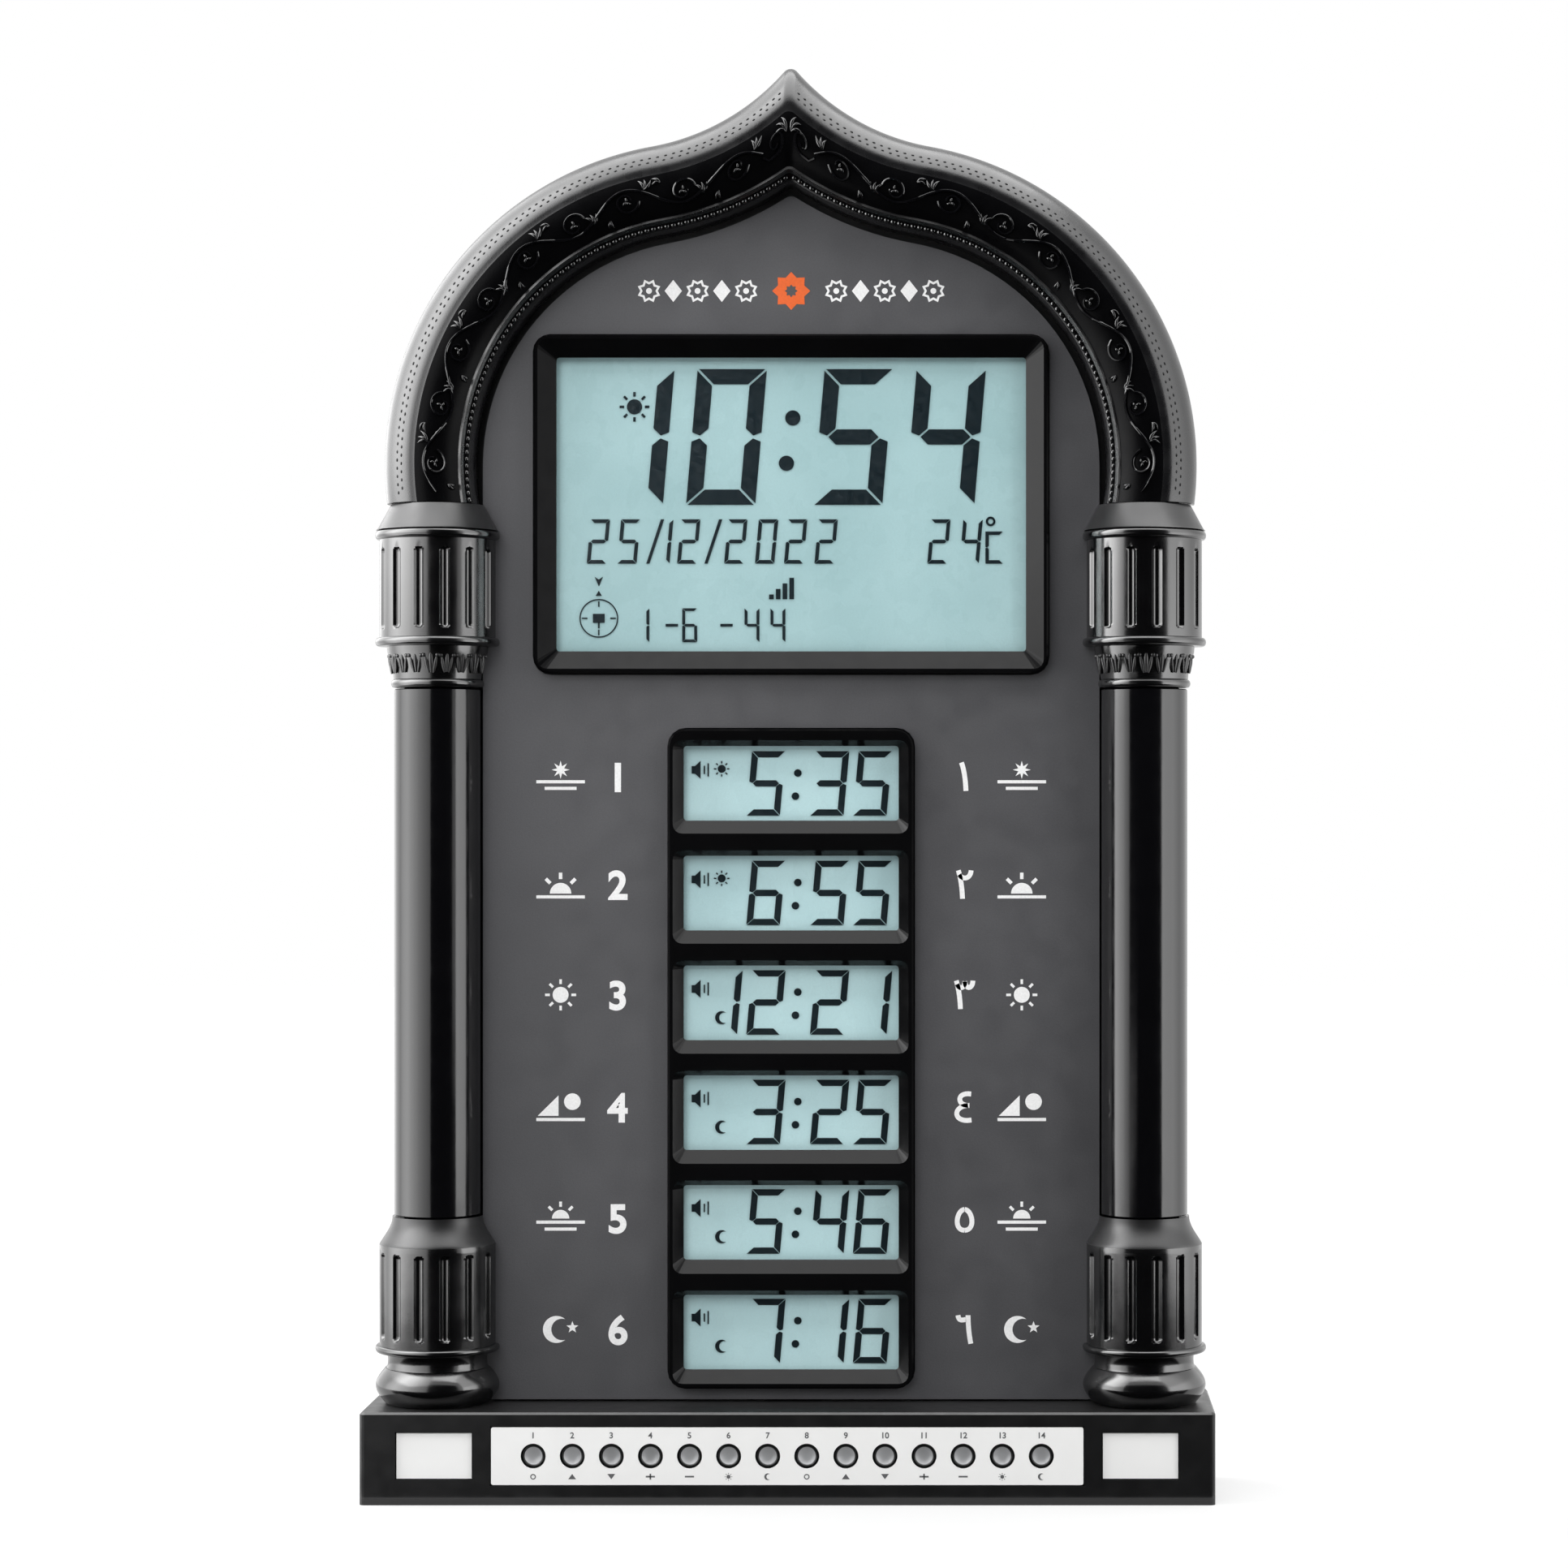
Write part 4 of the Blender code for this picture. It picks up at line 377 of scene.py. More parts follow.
@dataclass(frozen=True)
class PlatedMetal(RealMaterial):
    """Zinc or nickel plate on pressed steel: bright, with fine rolling lines."""

    colour: str
    roughness: float
    line_mm: float = 0.3

    def inputs(self, tree: Tree) -> Inputs:
        """Give lines along Y and uneven gloss.

        Args:
            tree: The material's tree.

        Returns:
            The shader's inputs.
        """
        lines = noise(tree, self.line_mm, 3.0, scale=(1.0, 0.12, 1.0))
        return {
            "Base Color": clouded(tree, 4.0, 3.0, self.colour, 0.85, 1.0),
            "Metallic": 1.0,
            "Roughness": noise(tree, 3.0, 3.0, self.roughness - 0.08, self.roughness + 0.1),
            "Normal": relief(tree, lines, 0.008),
        }


@dataclass(frozen=True)
class CircuitBoard(RealMaterial):
    """Glass-fibre board under green solder mask, with copper tracks showing paler."""

    mask: str
    track: str
    pitch_mm: float = 2.54

    def inputs(self, tree: Tree) -> Inputs:
        """Give tracks in the board's upright plane.

        Args:
            tree: The material's tree.

        Returns:
            The shader's inputs.
        """
        upright = add_node(
            tree, "ShaderNodeMapping",
            {"Vector": place_in(tree), "Rotation": (math.pi / 2, 0.0, 0.0)},
        )
        sockets = {
            "Vector": upright.outputs["Vector"], "Scale": 1 / (self.pitch_mm * MM),
            "Color1": linear(self.mask), "Color2": linear(self.mask, 0.9),
            "Mortar": linear(self.track), "Mortar Size": 0.07, "Brick Width": 3.0,
            "Row Height": 1.0,
        }
        tracks = add_node(tree, "ShaderNodeTexBrick", sockets, offset=0.5)
        return {
            "Base Color": tracks.outputs["Color"],
            "Roughness": noise(tree, 3.0, 2.0, 0.3, 0.42),
            "Normal": relief(tree, tracks.outputs["Fac"], 0.03),
        }


@dataclass(frozen=True)
class CellWrap(RealMaterial):
    """Printed metal sleeve of a battery cell: a coloured body and a bare end."""

    body: str
    end: str
    split_x: float

    def inputs(self, tree: Tree) -> Inputs:
        """Give the body's colour up to the split and the end's beyond it.

        Args:
            tree: The material's tree.

        Returns:
            The shader's inputs.
        """
        apart = add_node(tree, "ShaderNodeSeparateXYZ", {"Vector": place_in(tree)})
        side = calculate(tree, "GREATER_THAN", apart.outputs["X"], self.split_x)
        body = clouded(tree, 5.0, 2.0, self.body, 0.9, 1.0)
        return {
            "Base Color": mix(tree, side, body, linear(self.end)),
            "Metallic": 0.6,
            "Roughness": noise(tree, 6.0, 2.0, 0.28, 0.36),
        }


class Finish(Enum):
    """Every finish on the clock."""

    SATIN_BLACK_ABS = MouldedPlastic("satin black moulded ABS", "131314", 0.34)
    GLOSSY_BLACK_ABS = MouldedPlastic(
        "glossy black moulded ABS", "070708", 0.17, 0.35, 0.002, 0.03, 0.85
    )
    CARVED_BLACK_ABS = MouldedPlastic(
        "black moulded ABS in carved relief", "0b0b0d", 0.28, 0.6, shine=0.6
    )
    # The field between the carvings is the arch's own plastic made darker and almost without
    # reflection: painted shade that stands in for the dark reflection there.
    FIELD_BLACK_ABS = MouldedPlastic(
        "sunk black moulded ABS between carvings", "050506", 0.3, 0.6, shine=0.04
    )
    POLISHED_BLACK_ABS = MouldedPlastic(
        "polished black moulded ABS", "08080a", 0.13, 0.35, 0.0006, 0.02
    )
    BEZEL_BLACK_ABS = MouldedPlastic(
        "glossy black bezel ABS", "0a0a0b", 0.14, 0.35, 0.002, 0.03, 0.12
    )
    SHELL_BLACK_ABS = MouldedPlastic(
        "spark-textured black ABS", "121213", 0.42, 0.5, 0.02, shine=0.3
    )
    GREY_KEY_ABS = MouldedPlastic("grey moulded key ABS", "a6a7a9", 0.36, 0.4)
    GREY_SHEET = PrintedSheet("matt grey printed sheet", "424245")
    CELL_GLASS = DisplayGlass("liquid-crystal display glass", "c2e4e8", "cdedf0")
    LARGE_CELL_GLASS = DisplayGlass("large liquid-crystal display glass", "a9cbce", "b6d7da")
    ACRYLIC = ClearAcrylic("clear polished acrylic")
    SEGMENT = Ink("dark display segment", "122026", 0.35)
    WHITE_INK = Ink("white screen ink", "f4f4f4")
    ORANGE_INK = Ink("orange screen ink", "e86422")
    GREY_INK = Ink("grey legend ink", "5c5c5e")
    WHITE_SHEET = Ink("satin white styrene", "f5f5f4", 0.4, 9.0, 0.012)
    LIGHT_GUIDE = Ink("white light guide", "f2f4f2", 0.4, 9.0, 0.012)
    SILICONE = MouldedPlastic("grey silicone rubber", "8e9090", 0.6, 0.8)
    RIBBON = MouldedPlastic("grey flat cable", "b7b9bc", 0.5, 1.27, 0.05)
    INLET = MouldedPlastic("black nylon", "151516", 0.45)
    CONE_PAPER = MouldedPlastic("black pressed paper", "2b2a29", 0.8, 0.8, 0.05)
    ZINC = PlatedMetal("zinc-plated steel", "c3c5c8", 0.32)
    NICKEL = PlatedMetal("nickel strip", "cdc9bf", 0.25)
    BOARD = CircuitBoard("green circuit board", "1d5a34", "3f8a58")
    CELL = CellWrap("printed cell sleeve", "34516f", "c9cbcd", -0.058)


@cache
def finish(kind: Finish) -> bpy.types.Material:
    """Give the material of a finish, made once."""
    return kind.value.make()


# Mesh making


def add_object(name: str, data: object) -> bpy.types.Object:
    """Set new data in the scene as an object.

    Args:
        name: Its name.
        data: A mesh, curve, lamp or camera.

    Returns:
        The object.
    """
    made = bpy.data.objects.new(name, data)
    bpy.context.scene.collection.objects.link(made)
    return made


def evaluated(carrier: bpy.types.Object) -> Mesh:
    """Give an object's evaluated shape as a mesh of its own.

    Args:
        carrier: The object.

    Returns:
        Its shape after its modifiers.
    """
    bpy.context.view_layer.update()
    graph = bpy.context.evaluated_depsgraph_get()
    return bpy.data.meshes.new_from_object(carrier.evaluated_get(graph))


def upright(curve: bpy.types.Curve) -> Mesh:
    """Fill a flat curve and stand it up, so that it faces the front.

    Args:
        curve: A curve that lies flat.

    Returns:
        The filled shape.
    """
    carrier = add_object(curve.name, curve)
    mesh = evaluated(carrier)
    bpy.data.objects.remove(carrier)
    mesh.transform(Matrix.Rotation(math.pi / 2, 4, "X"))
    return mesh


def around(x: float, z: float, radius: float, degrees: float) -> Point2:
    """Give the point at a turn round a centre."""
    turn = math.radians(degrees)
    return x + radius * math.cos(turn), z + radius * math.sin(turn)


class Shape:
    """A mesh in the making, written straight in the clock's frame."""

    def __init__(self) -> None:
        """Start with nothing."""
        self.mesh = bmesh.new()

    def panel(self, corners: Sequence[Point3]) -> None:
        """Add one flat face."""
        self.mesh.faces.new([self.mesh.verts.new(corner) for corner in corners])

    def loft(
        self, loops: Sequence[Sequence[Point3]], ring: bool = False,
        accent: Callable[[int, int], bool] = lambda row, index: False,
    ) -> None:
        """Skin matching closed loops.

        Args:
            loops: Loops of the same number of points.
            ring: Whether the last loop joins the first; else both end loops get a face.
            accent: Says by loop and by place in it which faces take the second finish.
        """
        rows = [[self.mesh.verts.new(point) for point in loop] for loop in loops]
        if ring:
            rows.append(rows[0])
        else:
            self.mesh.faces.new(rows[0])
            self.mesh.faces.new(rows[-1][::-1])
        for row, (lower, upper) in enumerate(zip(rows, rows[1:])):
            for index in range(len(lower)):
                after = (index + 1) % len(lower)
                face = self.mesh.faces.new((lower[index], upper[index], upper[after], lower[after]))
                face.material_index = int(accent(row, index))

    def prism(self, outline: Line, front_y: float, back_y: float) -> None:
        """Add a flat solid between two depths."""
        self.loft([[(x, y, z) for x, z in outline] for y in (front_y, back_y)])

    def turned(
        self, profile: Line, sides: int, place: Callable[[float, float, float], Point3]
    ) -> None:
        """Turn a profile about an axis.

        Args:
            profile: Pairs of radius and distance along the axis; a zero radius closes an end.
            sides: Facets round the axis.
            place: Turns across, up and along into a point in the frame.
        """
        turns = [360 * (side + 0.5) / sides for side in range(sides)]
        rows = [
            [
                self.mesh.verts.new(place(*around(0.0, 0.0, radius, turn), along))
                for turn in (turns if radius > 0 else turns[:1])
            ]
            for radius, along in profile
        ]
        for lower, upper in zip(rows, rows[1:]):
            for side in range(sides):
                after = (side + 1) % sides
                corners = [lower[side % len(lower)], upper[side % len(upper)]]
                corners += [row[after] for row in (upper, lower) if len(row) > 1]
                self.mesh.faces.new(corners)

    def tube(self, points: Sequence[Point3], radii: Sequence[float], sides: int = 6) -> None:
        """Run a round cord through points.

        Args:
            points: Centre line.
            radii: Radius at each point.
            sides: Facets round the cord.
        """
        line = [Vector(point) for point in points]
        loops = []
        side = (line[1] - line[0]).orthogonal()
        for index, (centre, radius) in enumerate(zip(line, radii)):
            run = (line[min(index + 1, len(line) - 1)] - line[max(index - 1, 0)]).normalized()
            side = (side - run * side.dot(run)).normalized()
            other = run.cross(side)
            loops.append([
                tuple(centre + side * across + other * up)
                for across, up in (
                    around(0.0, 0.0, radius, 360 * step / sides) for step in range(sides)
                )
            ])
        self.loft(loops)

    def dome(self, centre: Point3, reach: Point3, rings: int = 4, sides: int = 8) -> None:
        """Add an egg-shaped bead with a half size along each axis.

        Args:
            centre: Its middle.
            reach: Half its size along each axis.
            rings: Steps from end to end.
            sides: Facets round it.
        """
        x, y, z = centre
        profile = [(0.0, -1.0)]
        profile += [around(0.0, 0.0, 1.0, 180 * ring / rings - 90) for ring in range(1, rings)]
        profile.append((0.0, 1.0))
        self.turned(
            profile, sides,
            lambda across, up, along: (
                x + along * reach[0], y + across * reach[1], z + up * reach[2],
            ),
        )

    def mirror_x(self) -> None:
        """Add the same shape on the other side of the middle plane."""
        twin = bmesh.ops.duplicate(self.mesh, geom=self.mesh.faces[:] + self.mesh.verts[:])
        for item in twin["geom"]:
            if isinstance(item, bmesh.types.BMVert):
                item.co.x = -item.co.x

    def take(self, mesh: Mesh, move: Point3 = (0.0, 0.0, 0.0)) -> None:
        """Move a mesh, take it in and drop it.

        Args:
            mesh: The mesh.
            move: How far it moves first.
        """
        mesh.transform(Matrix.Translation(move))
        self.mesh.from_mesh(mesh)
        bpy.data.meshes.remove(mesh)

    def release(self, name: str) -> Mesh:
        """Hand the mesh over as it is.

        Args:
            name: The mesh's name.

        Returns:
            The mesh.
        """
        made = bpy.data.meshes.new(name)
        self.mesh.to_mesh(made)
        self.mesh.free()
        return made

    def finish_mesh(self, name: str) -> Mesh:
        """Close the mesh, point its faces outwards and hand it over.

        Args:
            name: The mesh's name.

        Returns:
            The mesh.
        """
        bmesh.ops.remove_doubles(self.mesh, verts=self.mesh.verts, dist=1e-7)
        bmesh.ops.recalc_face_normals(self.mesh, faces=self.mesh.faces)
        return self.release(name)


def place_piece(
    name: str, mesh: Mesh, kind: Finish, body: str = ROOT_BODY,
    stands_for: Sequence[str] = (), sharp_degrees: float = 35.0, accent: Finish | None = None,
) -> None:
    """Show a finished mesh as a piece of the clock.

    Args:
        name: The piece's name.
        mesh: Its mesh, already in place.
        kind: Its finish.
        body: The body it rides on.
        stands_for: Nodes of the frame that it replaces.
        sharp_degrees: Edges that turn by more than this stay crisp.
        accent: A second finish, for faces marked for it.
    """
    marked = [face.material_index if accent else 0 for face in mesh.polygons]
    mesh.materials.clear()
    for each in (kind, accent) if accent else (kind,):
        mesh.materials.append(finish(each))
    mesh.polygons.foreach_set("material_index", marked)
    mesh.shade_smooth()
    mesh.set_sharp_from_angle(angle=math.radians(sharp_degrees))
    piece = add_object(name, mesh)
    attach(piece, body)
    if stands_for:
        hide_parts(*stands_for)
    LOG.info("%s: %d faces", name, len(mesh.polygons))


class PathRow:
    """Rows of one small piece, spaced evenly along a path, made with Geometry Nodes."""

    SOCKETS = {
        "Geometry": "NodeSocketGeometry", "Path": "NodeSocketObject", "Piece": "NodeSocketObject",
        "Number": "NodeSocketInt", "Size Spread": "NodeSocketFloat",
        "Finish": "NodeSocketMaterial",
    }

    @classmethod
    @cache
    def tree(cls) -> Tree:
        """Build the tree once: its inputs are the path, the piece, the number and the finish.

        Returns:
            The node tree.
        """
        tree = bpy.data.node_groups.new("row along a path", "GeometryNodeTree")
        for name, kind in cls.SOCKETS.items():
            tree.interface.new_socket(name, in_out="INPUT", socket_type=kind)
        tree.interface.new_socket("Geometry", in_out="OUTPUT", socket_type="NodeSocketGeometry")
        given = add_node(tree, "NodeGroupInput").outputs
        path, piece = (
            add_node(tree, "GeometryNodeObjectInfo", {"Object": given[name]}).outputs["Geometry"]
            for name in ("Path", "Piece")
        )
        points = add_node(
            tree, "GeometryNodeCurveToPoints", {"Curve": path, "Count": given["Number"]},
            mode="COUNT",
        )
        turned = add_node(
            tree, "FunctionNodeAxesToRotation",
            {0: points.outputs["Tangent"], 1: (0.0, -1.0, 0.0)},
            primary_axis="X", secondary_axis="Z",
        )
        low, high = (
            calculate(tree, operation, 1.0, given["Size Spread"])
            for operation in ("SUBTRACT", "ADD")
        )
        size = add_node(
            tree, "FunctionNodeRandomValue", {2: low, 3: high, "Seed": 7}, data_type="FLOAT"
        )
        rows = add_node(
            tree, "GeometryNodeInstanceOnPoints",
            {
                "Points": points.outputs["Points"], "Instance": piece,
                "Rotation": turned.outputs["Rotation"], "Scale": size.outputs[1],
            },
        )
        real = add_node(
            tree, "GeometryNodeRealizeInstances", {"Geometry": rows.outputs["Instances"]}
        )
        dressed = add_node(
            tree, "GeometryNodeSetMaterial",
            {"Geometry": real.outputs["Geometry"], "Material": given["Finish"]},
        )
        add_node(tree, "NodeGroupOutput", {"Geometry": dressed.outputs["Geometry"]})
        return tree

    @classmethod
    def grow(
        cls, path: Sequence[Point3], piece: Mesh, number: int, kind: Finish, size_spread: float
    ) -> Mesh:
        """Set the piece along the path and give the result as one plain mesh.

        Args:
            path: Points of the path.
            piece: Mesh with X along the path, Y to its left as the viewer sees it, Z to the viewer.
            number: How many there are.
            kind: Finish of the row.
            size_spread: Share by which sizes differ.

        Returns:
            The row as one mesh, in place.
        """
        curve = bpy.data.curves.new("path", "CURVE")
        curve.dimensions = "3D"
        spline = curve.splines.new("POLY")
        spline.points.add(len(path) - 1)
        for point, place in zip(spline.points, path):
            point.co = (*place, 1.0)
        carrier, small = add_object("path", curve), add_object("piece", piece)
        row = add_object("row", bpy.data.meshes.new("row"))
        modifier = row.modifiers.new("row", "NODES")
        modifier.node_group = cls.tree()
        values = {
            "Path": carrier, "Piece": small, "Number": number, "Size Spread": size_spread,
            "Finish": finish(kind),
        }
        for item in modifier.node_group.interface.items_tree:
            if item.item_type == "SOCKET" and item.in_out == "INPUT" and item.name in values:
                modifier[item.identifier] = values[item.name]
        mesh = evaluated(row)
        row.modifiers.clear()
        for helper in (carrier, small, row):
            bpy.data.objects.remove(helper)
        return mesh


# The arch


@dataclass(frozen=True)
class ArchSizes:
    """Sizes of the pointed arch and its relief."""

    centre_x: float = 23.603 * MM
    centre_z: float = 295.9 * MM
    spring_z: float = 284.7 * MM
    middle: float = 80.3 * MM
    half_band: float = 13.0 * MM
    axis_y: float = -3.0 * MM
    seat_y: float = -0.3 * MM
    span: float = 160.0 * MM
    joint: float = math.radians(79.8)
    tip: float = 2.5 * MM
    # Stations on the main arc, the reverse arc and the tip
    steps: tuple[int, int, int] = (84, 36, 6)
    # Middle of the carved field in degrees round the section, and where its cords lie
    field_turn: float = 104.0
    field_lift: float = -0.35 * MM
    wave: float = 17.0 * MM
    swing: float = 3.4 * MM
    stem: float = 0.46 * MM


class Arch:
    """The half-round arch: a smooth outer band, a sunk field of scrolls and an inner bead row."""

    # Turns round the section from the outer edge in degrees, with the height there in mm
    SECTION = (
        *((turn, 0.0) for turn in range(0, 61, 6)), (65, 0.0), (68.4, -0.05), (71.4, -0.2),
        (74, -0.38), (77, -0.45), *((turn, -0.45) for turn in range(82, 131, 6)), (136.4, -0.42),
        (137.6, 0.24), (139.2, 0.24), (140.6, 0.0), (144.4, 0.0), (145.8, -0.3), (151, -0.36),
        (156.2, -0.3), (157.6, 0.0), *((turn, 0.0) for turn in range(162, 181, 6)),
    )

    def __init__(self, sizes: ArchSizes) -> None:
        """Work out the ogee curve.

        Args:
            sizes: Sizes of the arch.
        """
        self.sizes = sizes
        self.reverse_x, self.reverse_z = around(
            sizes.centre_x, sizes.centre_z, sizes.span, math.degrees(sizes.joint)
        )
        _, main, reverse, tip = self._arcs(sizes.middle)
        self.lengths = (
            sizes.middle * abs(main), (sizes.span - sizes.middle) * abs(reverse),
            sizes.tip * abs(tip),
        )
        self.half_length = sum(self.lengths)

    def _arcs(self, radius: float) -> tuple[float, float, float, float]:
        """Give the first angle and the turns of the three arcs at a radius.

        Args:
            radius: Radius of the main arc.

        Returns:
            The first angle, then the turns of main arc, reverse arc and tip, in radians.
        """
        sizes = self.sizes
        start = math.asin((sizes.spring_z - sizes.centre_z) / radius)
        reach = sizes.span - radius + sizes.tip
        meeting = math.atan2(-math.sqrt(reach ** 2 - self.reverse_x ** 2), -self.reverse_x)
        return (
            start, sizes.joint - start, meeting - (sizes.joint - math.pi),
            math.pi / 2 - (meeting + math.pi),
        )

    def _spot(self, progress: float, radius: float) -> Point2:
        """Give a point of the right half.

        Args:
            progress: 0 to 1 on the main arc, to 2 on the reverse arc, and to 3 on the tip.
            radius: Radius of the main arc.

        Returns:
            The point as (x, z).
        """
        sizes = self.sizes
        start, main, reverse, tip = self._arcs(radius)
        if progress <= 1:
            angle = math.degrees(start + main * progress)
            return around(sizes.centre_x, sizes.centre_z, radius, angle)
        back = sizes.span - radius
        first = sizes.joint - math.pi
        if progress <= 2:
            angle = math.degrees(first + reverse * (progress - 1))
            return around(self.reverse_x, self.reverse_z, back, angle)
        tip_z = self.reverse_z - math.sqrt((back + sizes.tip) ** 2 - self.reverse_x ** 2)
        angle = math.degrees(first + reverse + math.pi + tip * (progress - 2))
        x, z = around(0.0, tip_z, sizes.tip, angle)
        return (0.0 if progress >= 3 else x), z

    def on_skin(self, along: float, turn: float, lift: float) -> Point3:
        """Give a point on the arch's round skin.

        Args:
            along: Distance from the right spring on the middle line; past the tip it
                comes down the left half.
            turn: Turn round the section from the outer edge, in degrees.
            lift: Height above the skin.

        Returns:
            The point.
        """
        side = 1.0 if along <= self.half_length else -1.0
        left = along if side > 0 else 2 * self.half_length - along
        progress = 0.0
        for length in self.lengths:
            progress += min(max(left / length, 0.0), 1.0)
            left -= length
        out, up = around(0.0, 0.0, self.sizes.half_band + lift, turn)
        x, z = self._spot(progress, self.sizes.middle + out)
        return side * x, self.sizes.axis_y - up, z

    def _band(self) -> Mesh:
        """Sweep the section from the right spring over the tip to the left spring.

        Returns:
            The band's mesh.
        """
        sizes = self.sizes
        ring = [(sizes.half_band, sizes.seat_y)]
        for turn, height in self.SECTION:
            out, up = around(0.0, 0.0, sizes.half_band + height * MM, turn)
            ring.append((out, sizes.axis_y - up))
        ring.append((-sizes.half_band, sizes.seat_y))
        right = [0.0]
        for arc, steps in enumerate(sizes.steps):
            right += [arc + (step + 1) / steps for step in range(steps)]
        loops = []
        for side, stations in ((1.0, right), (-1.0, right[-2::-1])):
            for progress in stations:
                spots = [(self._spot(progress, sizes.middle + out), y) for out, y in ring]
                loops.append([(side * x, y, z) for (x, z), y in spots])
        turns = [0.0] + [turn for turn, _ in self.SECTION] + [180.0, 180.0]
        # Faces of the sunk field and of the bead groove take the second finish, which is painted
        # shade.
        sunk = [76 < turn < 136 or 145 < turn < 156 for turn in turns]
        shape = Shape()
        shape.loft(loops, accent=lambda _, index: sunk[index])
        return shape.finish_mesh("arch_band")

    def _vine(self, shape: Shape, line: Line, radii: Sequence[float]) -> None:
        """Lay a cord on the field.

        Args:
            shape: The shape that takes it.
            line: Points as (distance along, distance outward from the field's middle).
            radii: Cord radius at each point.
        """
        sizes = self.sizes
        shape.tube([
            self.on_skin(
                along, sizes.field_turn - math.degrees(out / sizes.half_band),
                sizes.field_lift + radius / 2,
            )
            for (along, out), radius in zip(line, radii)
        ], radii)

    def _leaf(
        self, shape: Shape, along: float, out: float, lean: float, reach: float, thick: float
    ) -> None:
        """Lay one leaf: a cord that swells in its middle and curls a little.

        Args:
            shape: The shape that takes it.
            along: Its foot's distance along the arch.
            out: Its foot's distance outward from the field's middle.
            lean: Its direction at the foot, in degrees.
            reach: Its length in millimetres.
            thick: Its greatest radius in millimetres.
        """
        line, radii, limit, curl, least = [], [], 6.0 * MM, 34, 0.08
        for step in range(9):
            share = step / 8
            x, z = around(along, out, reach * MM * share, lean + curl * share)
            line.append((x, max(min(z, limit), -limit)))
            radii.append(max(thick * math.sin(math.pi * (0.12 + 0.84 * share)), least) * MM)
        self._vine(shape, line, radii)

    def _scrolls(self) -> Mesh:
        """Grow the arabesque: a waving stem with a volute and leaves in each wave.

        Returns:
            The mesh of all the cords.
        """
        shape = Shape()
        wave, start, stop, steps = self.sizes.wave, 3.0 * MM, self.half_length - 9.0 * MM, 150
        stem = [start + (stop - start) * step / steps for step in range(steps + 1)]
        self._vine(
            shape,
            [(at, self.sizes.swing * math.sin(math.pi * (at - start) / wave)) for at in stem],
            [self.sizes.stem] * len(stem),
        )
        for index in range(int((stop - start) / wave) + 1):
            side = 1.0 if index % 2 == 0 else -1.0
            middle = start + wave * (index + 0.5)
            if middle > stop:
                break
            curl, radii = [], []
            for step in range(41):
                share = step / 40
                reach = (3.9 - 2.5 * share) * MM
                angle = math.radians(-80 + 350 * share)
                curl.append((
                    middle - reach * math.sin(angle),
                    side * (0.2 * MM - reach * 0.92 * math.cos(angle)),
                ))
                radii.append((0.42 - 0.1 * share) * MM)
            self._vine(shape, curl, radii)
            for shift, out, lean, reach, thick in (
                (0.0, 0.1, -60, 1.5, 0.4), (0.0, 0.1, 60, 1.5, 0.4), (0.0, 0.1, 180, 1.5, 0.4),
                (0.34, 2.4, 50 * side - 42, 3.4, 0.5), (0.34, 2.4, 50 * side - 8, 2.9, 0.5),
                (0.34, 2.4, 50 * side + 26, 3.0, 0.5),
                (-0.36, -3.6, 205, 2.6, 0.46), (-0.36, -3.6, 245, 2.6, 0.46),
            ):
                self._leaf(
                    shape, middle + wave * shift, side * out * MM, side * lean, reach, thick
                )
        self._crown(shape, stop)
        shape.mirror_x()
        return shape.finish_mesh("arch_scrolls")

    def _crown(self, shape: Shape, stop: float) -> None:
        """Close the stem with a paired curl and a fan of leaves under the tip.

        Args:
            shape: The shape that takes it.
            stop: Where the stem ends along the arch.
        """
        end, thick = self.half_length, 0.45 * MM
        line, radii = [(stop, -1.0 * MM), (end - 7.0 * MM, -2.6 * MM)], [thick, thick]
        for step in range(31):
            share = step / 30
            line.append(around(
                end - 4.6 * MM, 0.6 * MM, (3.0 - 2.2 * share) * MM, -90 + 430 * share
            ))
            radii.append(thick - 0.15 * share * MM)
        self._vine(shape, line, radii)
        for lean, reach in ((78, 4.2), (104, 4.6), (130, 4.2)):
            self._leaf(shape, end - 0.8 * MM, 1.6 * MM, lean, reach, 0.55)

    def _row(
        self, name: str, kind: Finish, piece: Shape, turn: float, lift: float, first: float,
        last: float, pitch: float,
    ) -> None:
        """Set a small piece along both halves at one turn of the section.

        Args:
            name: The piece's name.
            kind: Its finish.
            piece: The small piece.
            turn: Its turn round the section, in degrees.
            lift: Its height above the skin in millimetres.
            first: Its distance from the spring in millimetres.
            last: The last one's distance from the tip in millimetres.
            pitch: Distance between two in millimetres.
        """
        steps, start, stop = 240, first * MM, self.half_length - last * MM
        path = [
            self.on_skin(start + (stop - start) * step / steps, turn, lift * MM)
            for step in range(steps + 1)
        ]
        length = sum((Vector(b) - Vector(a)).length for a, b in zip(path, path[1:]))
        number = round(length / (pitch * MM)) + 1
        row = Shape()
        row.take(PathRow.grow(path, piece.finish_mesh("piece"), number, kind, 0.05))
        row.mirror_x()
        place_piece(name, row.finish_mesh(name), kind, sharp_degrees=60)

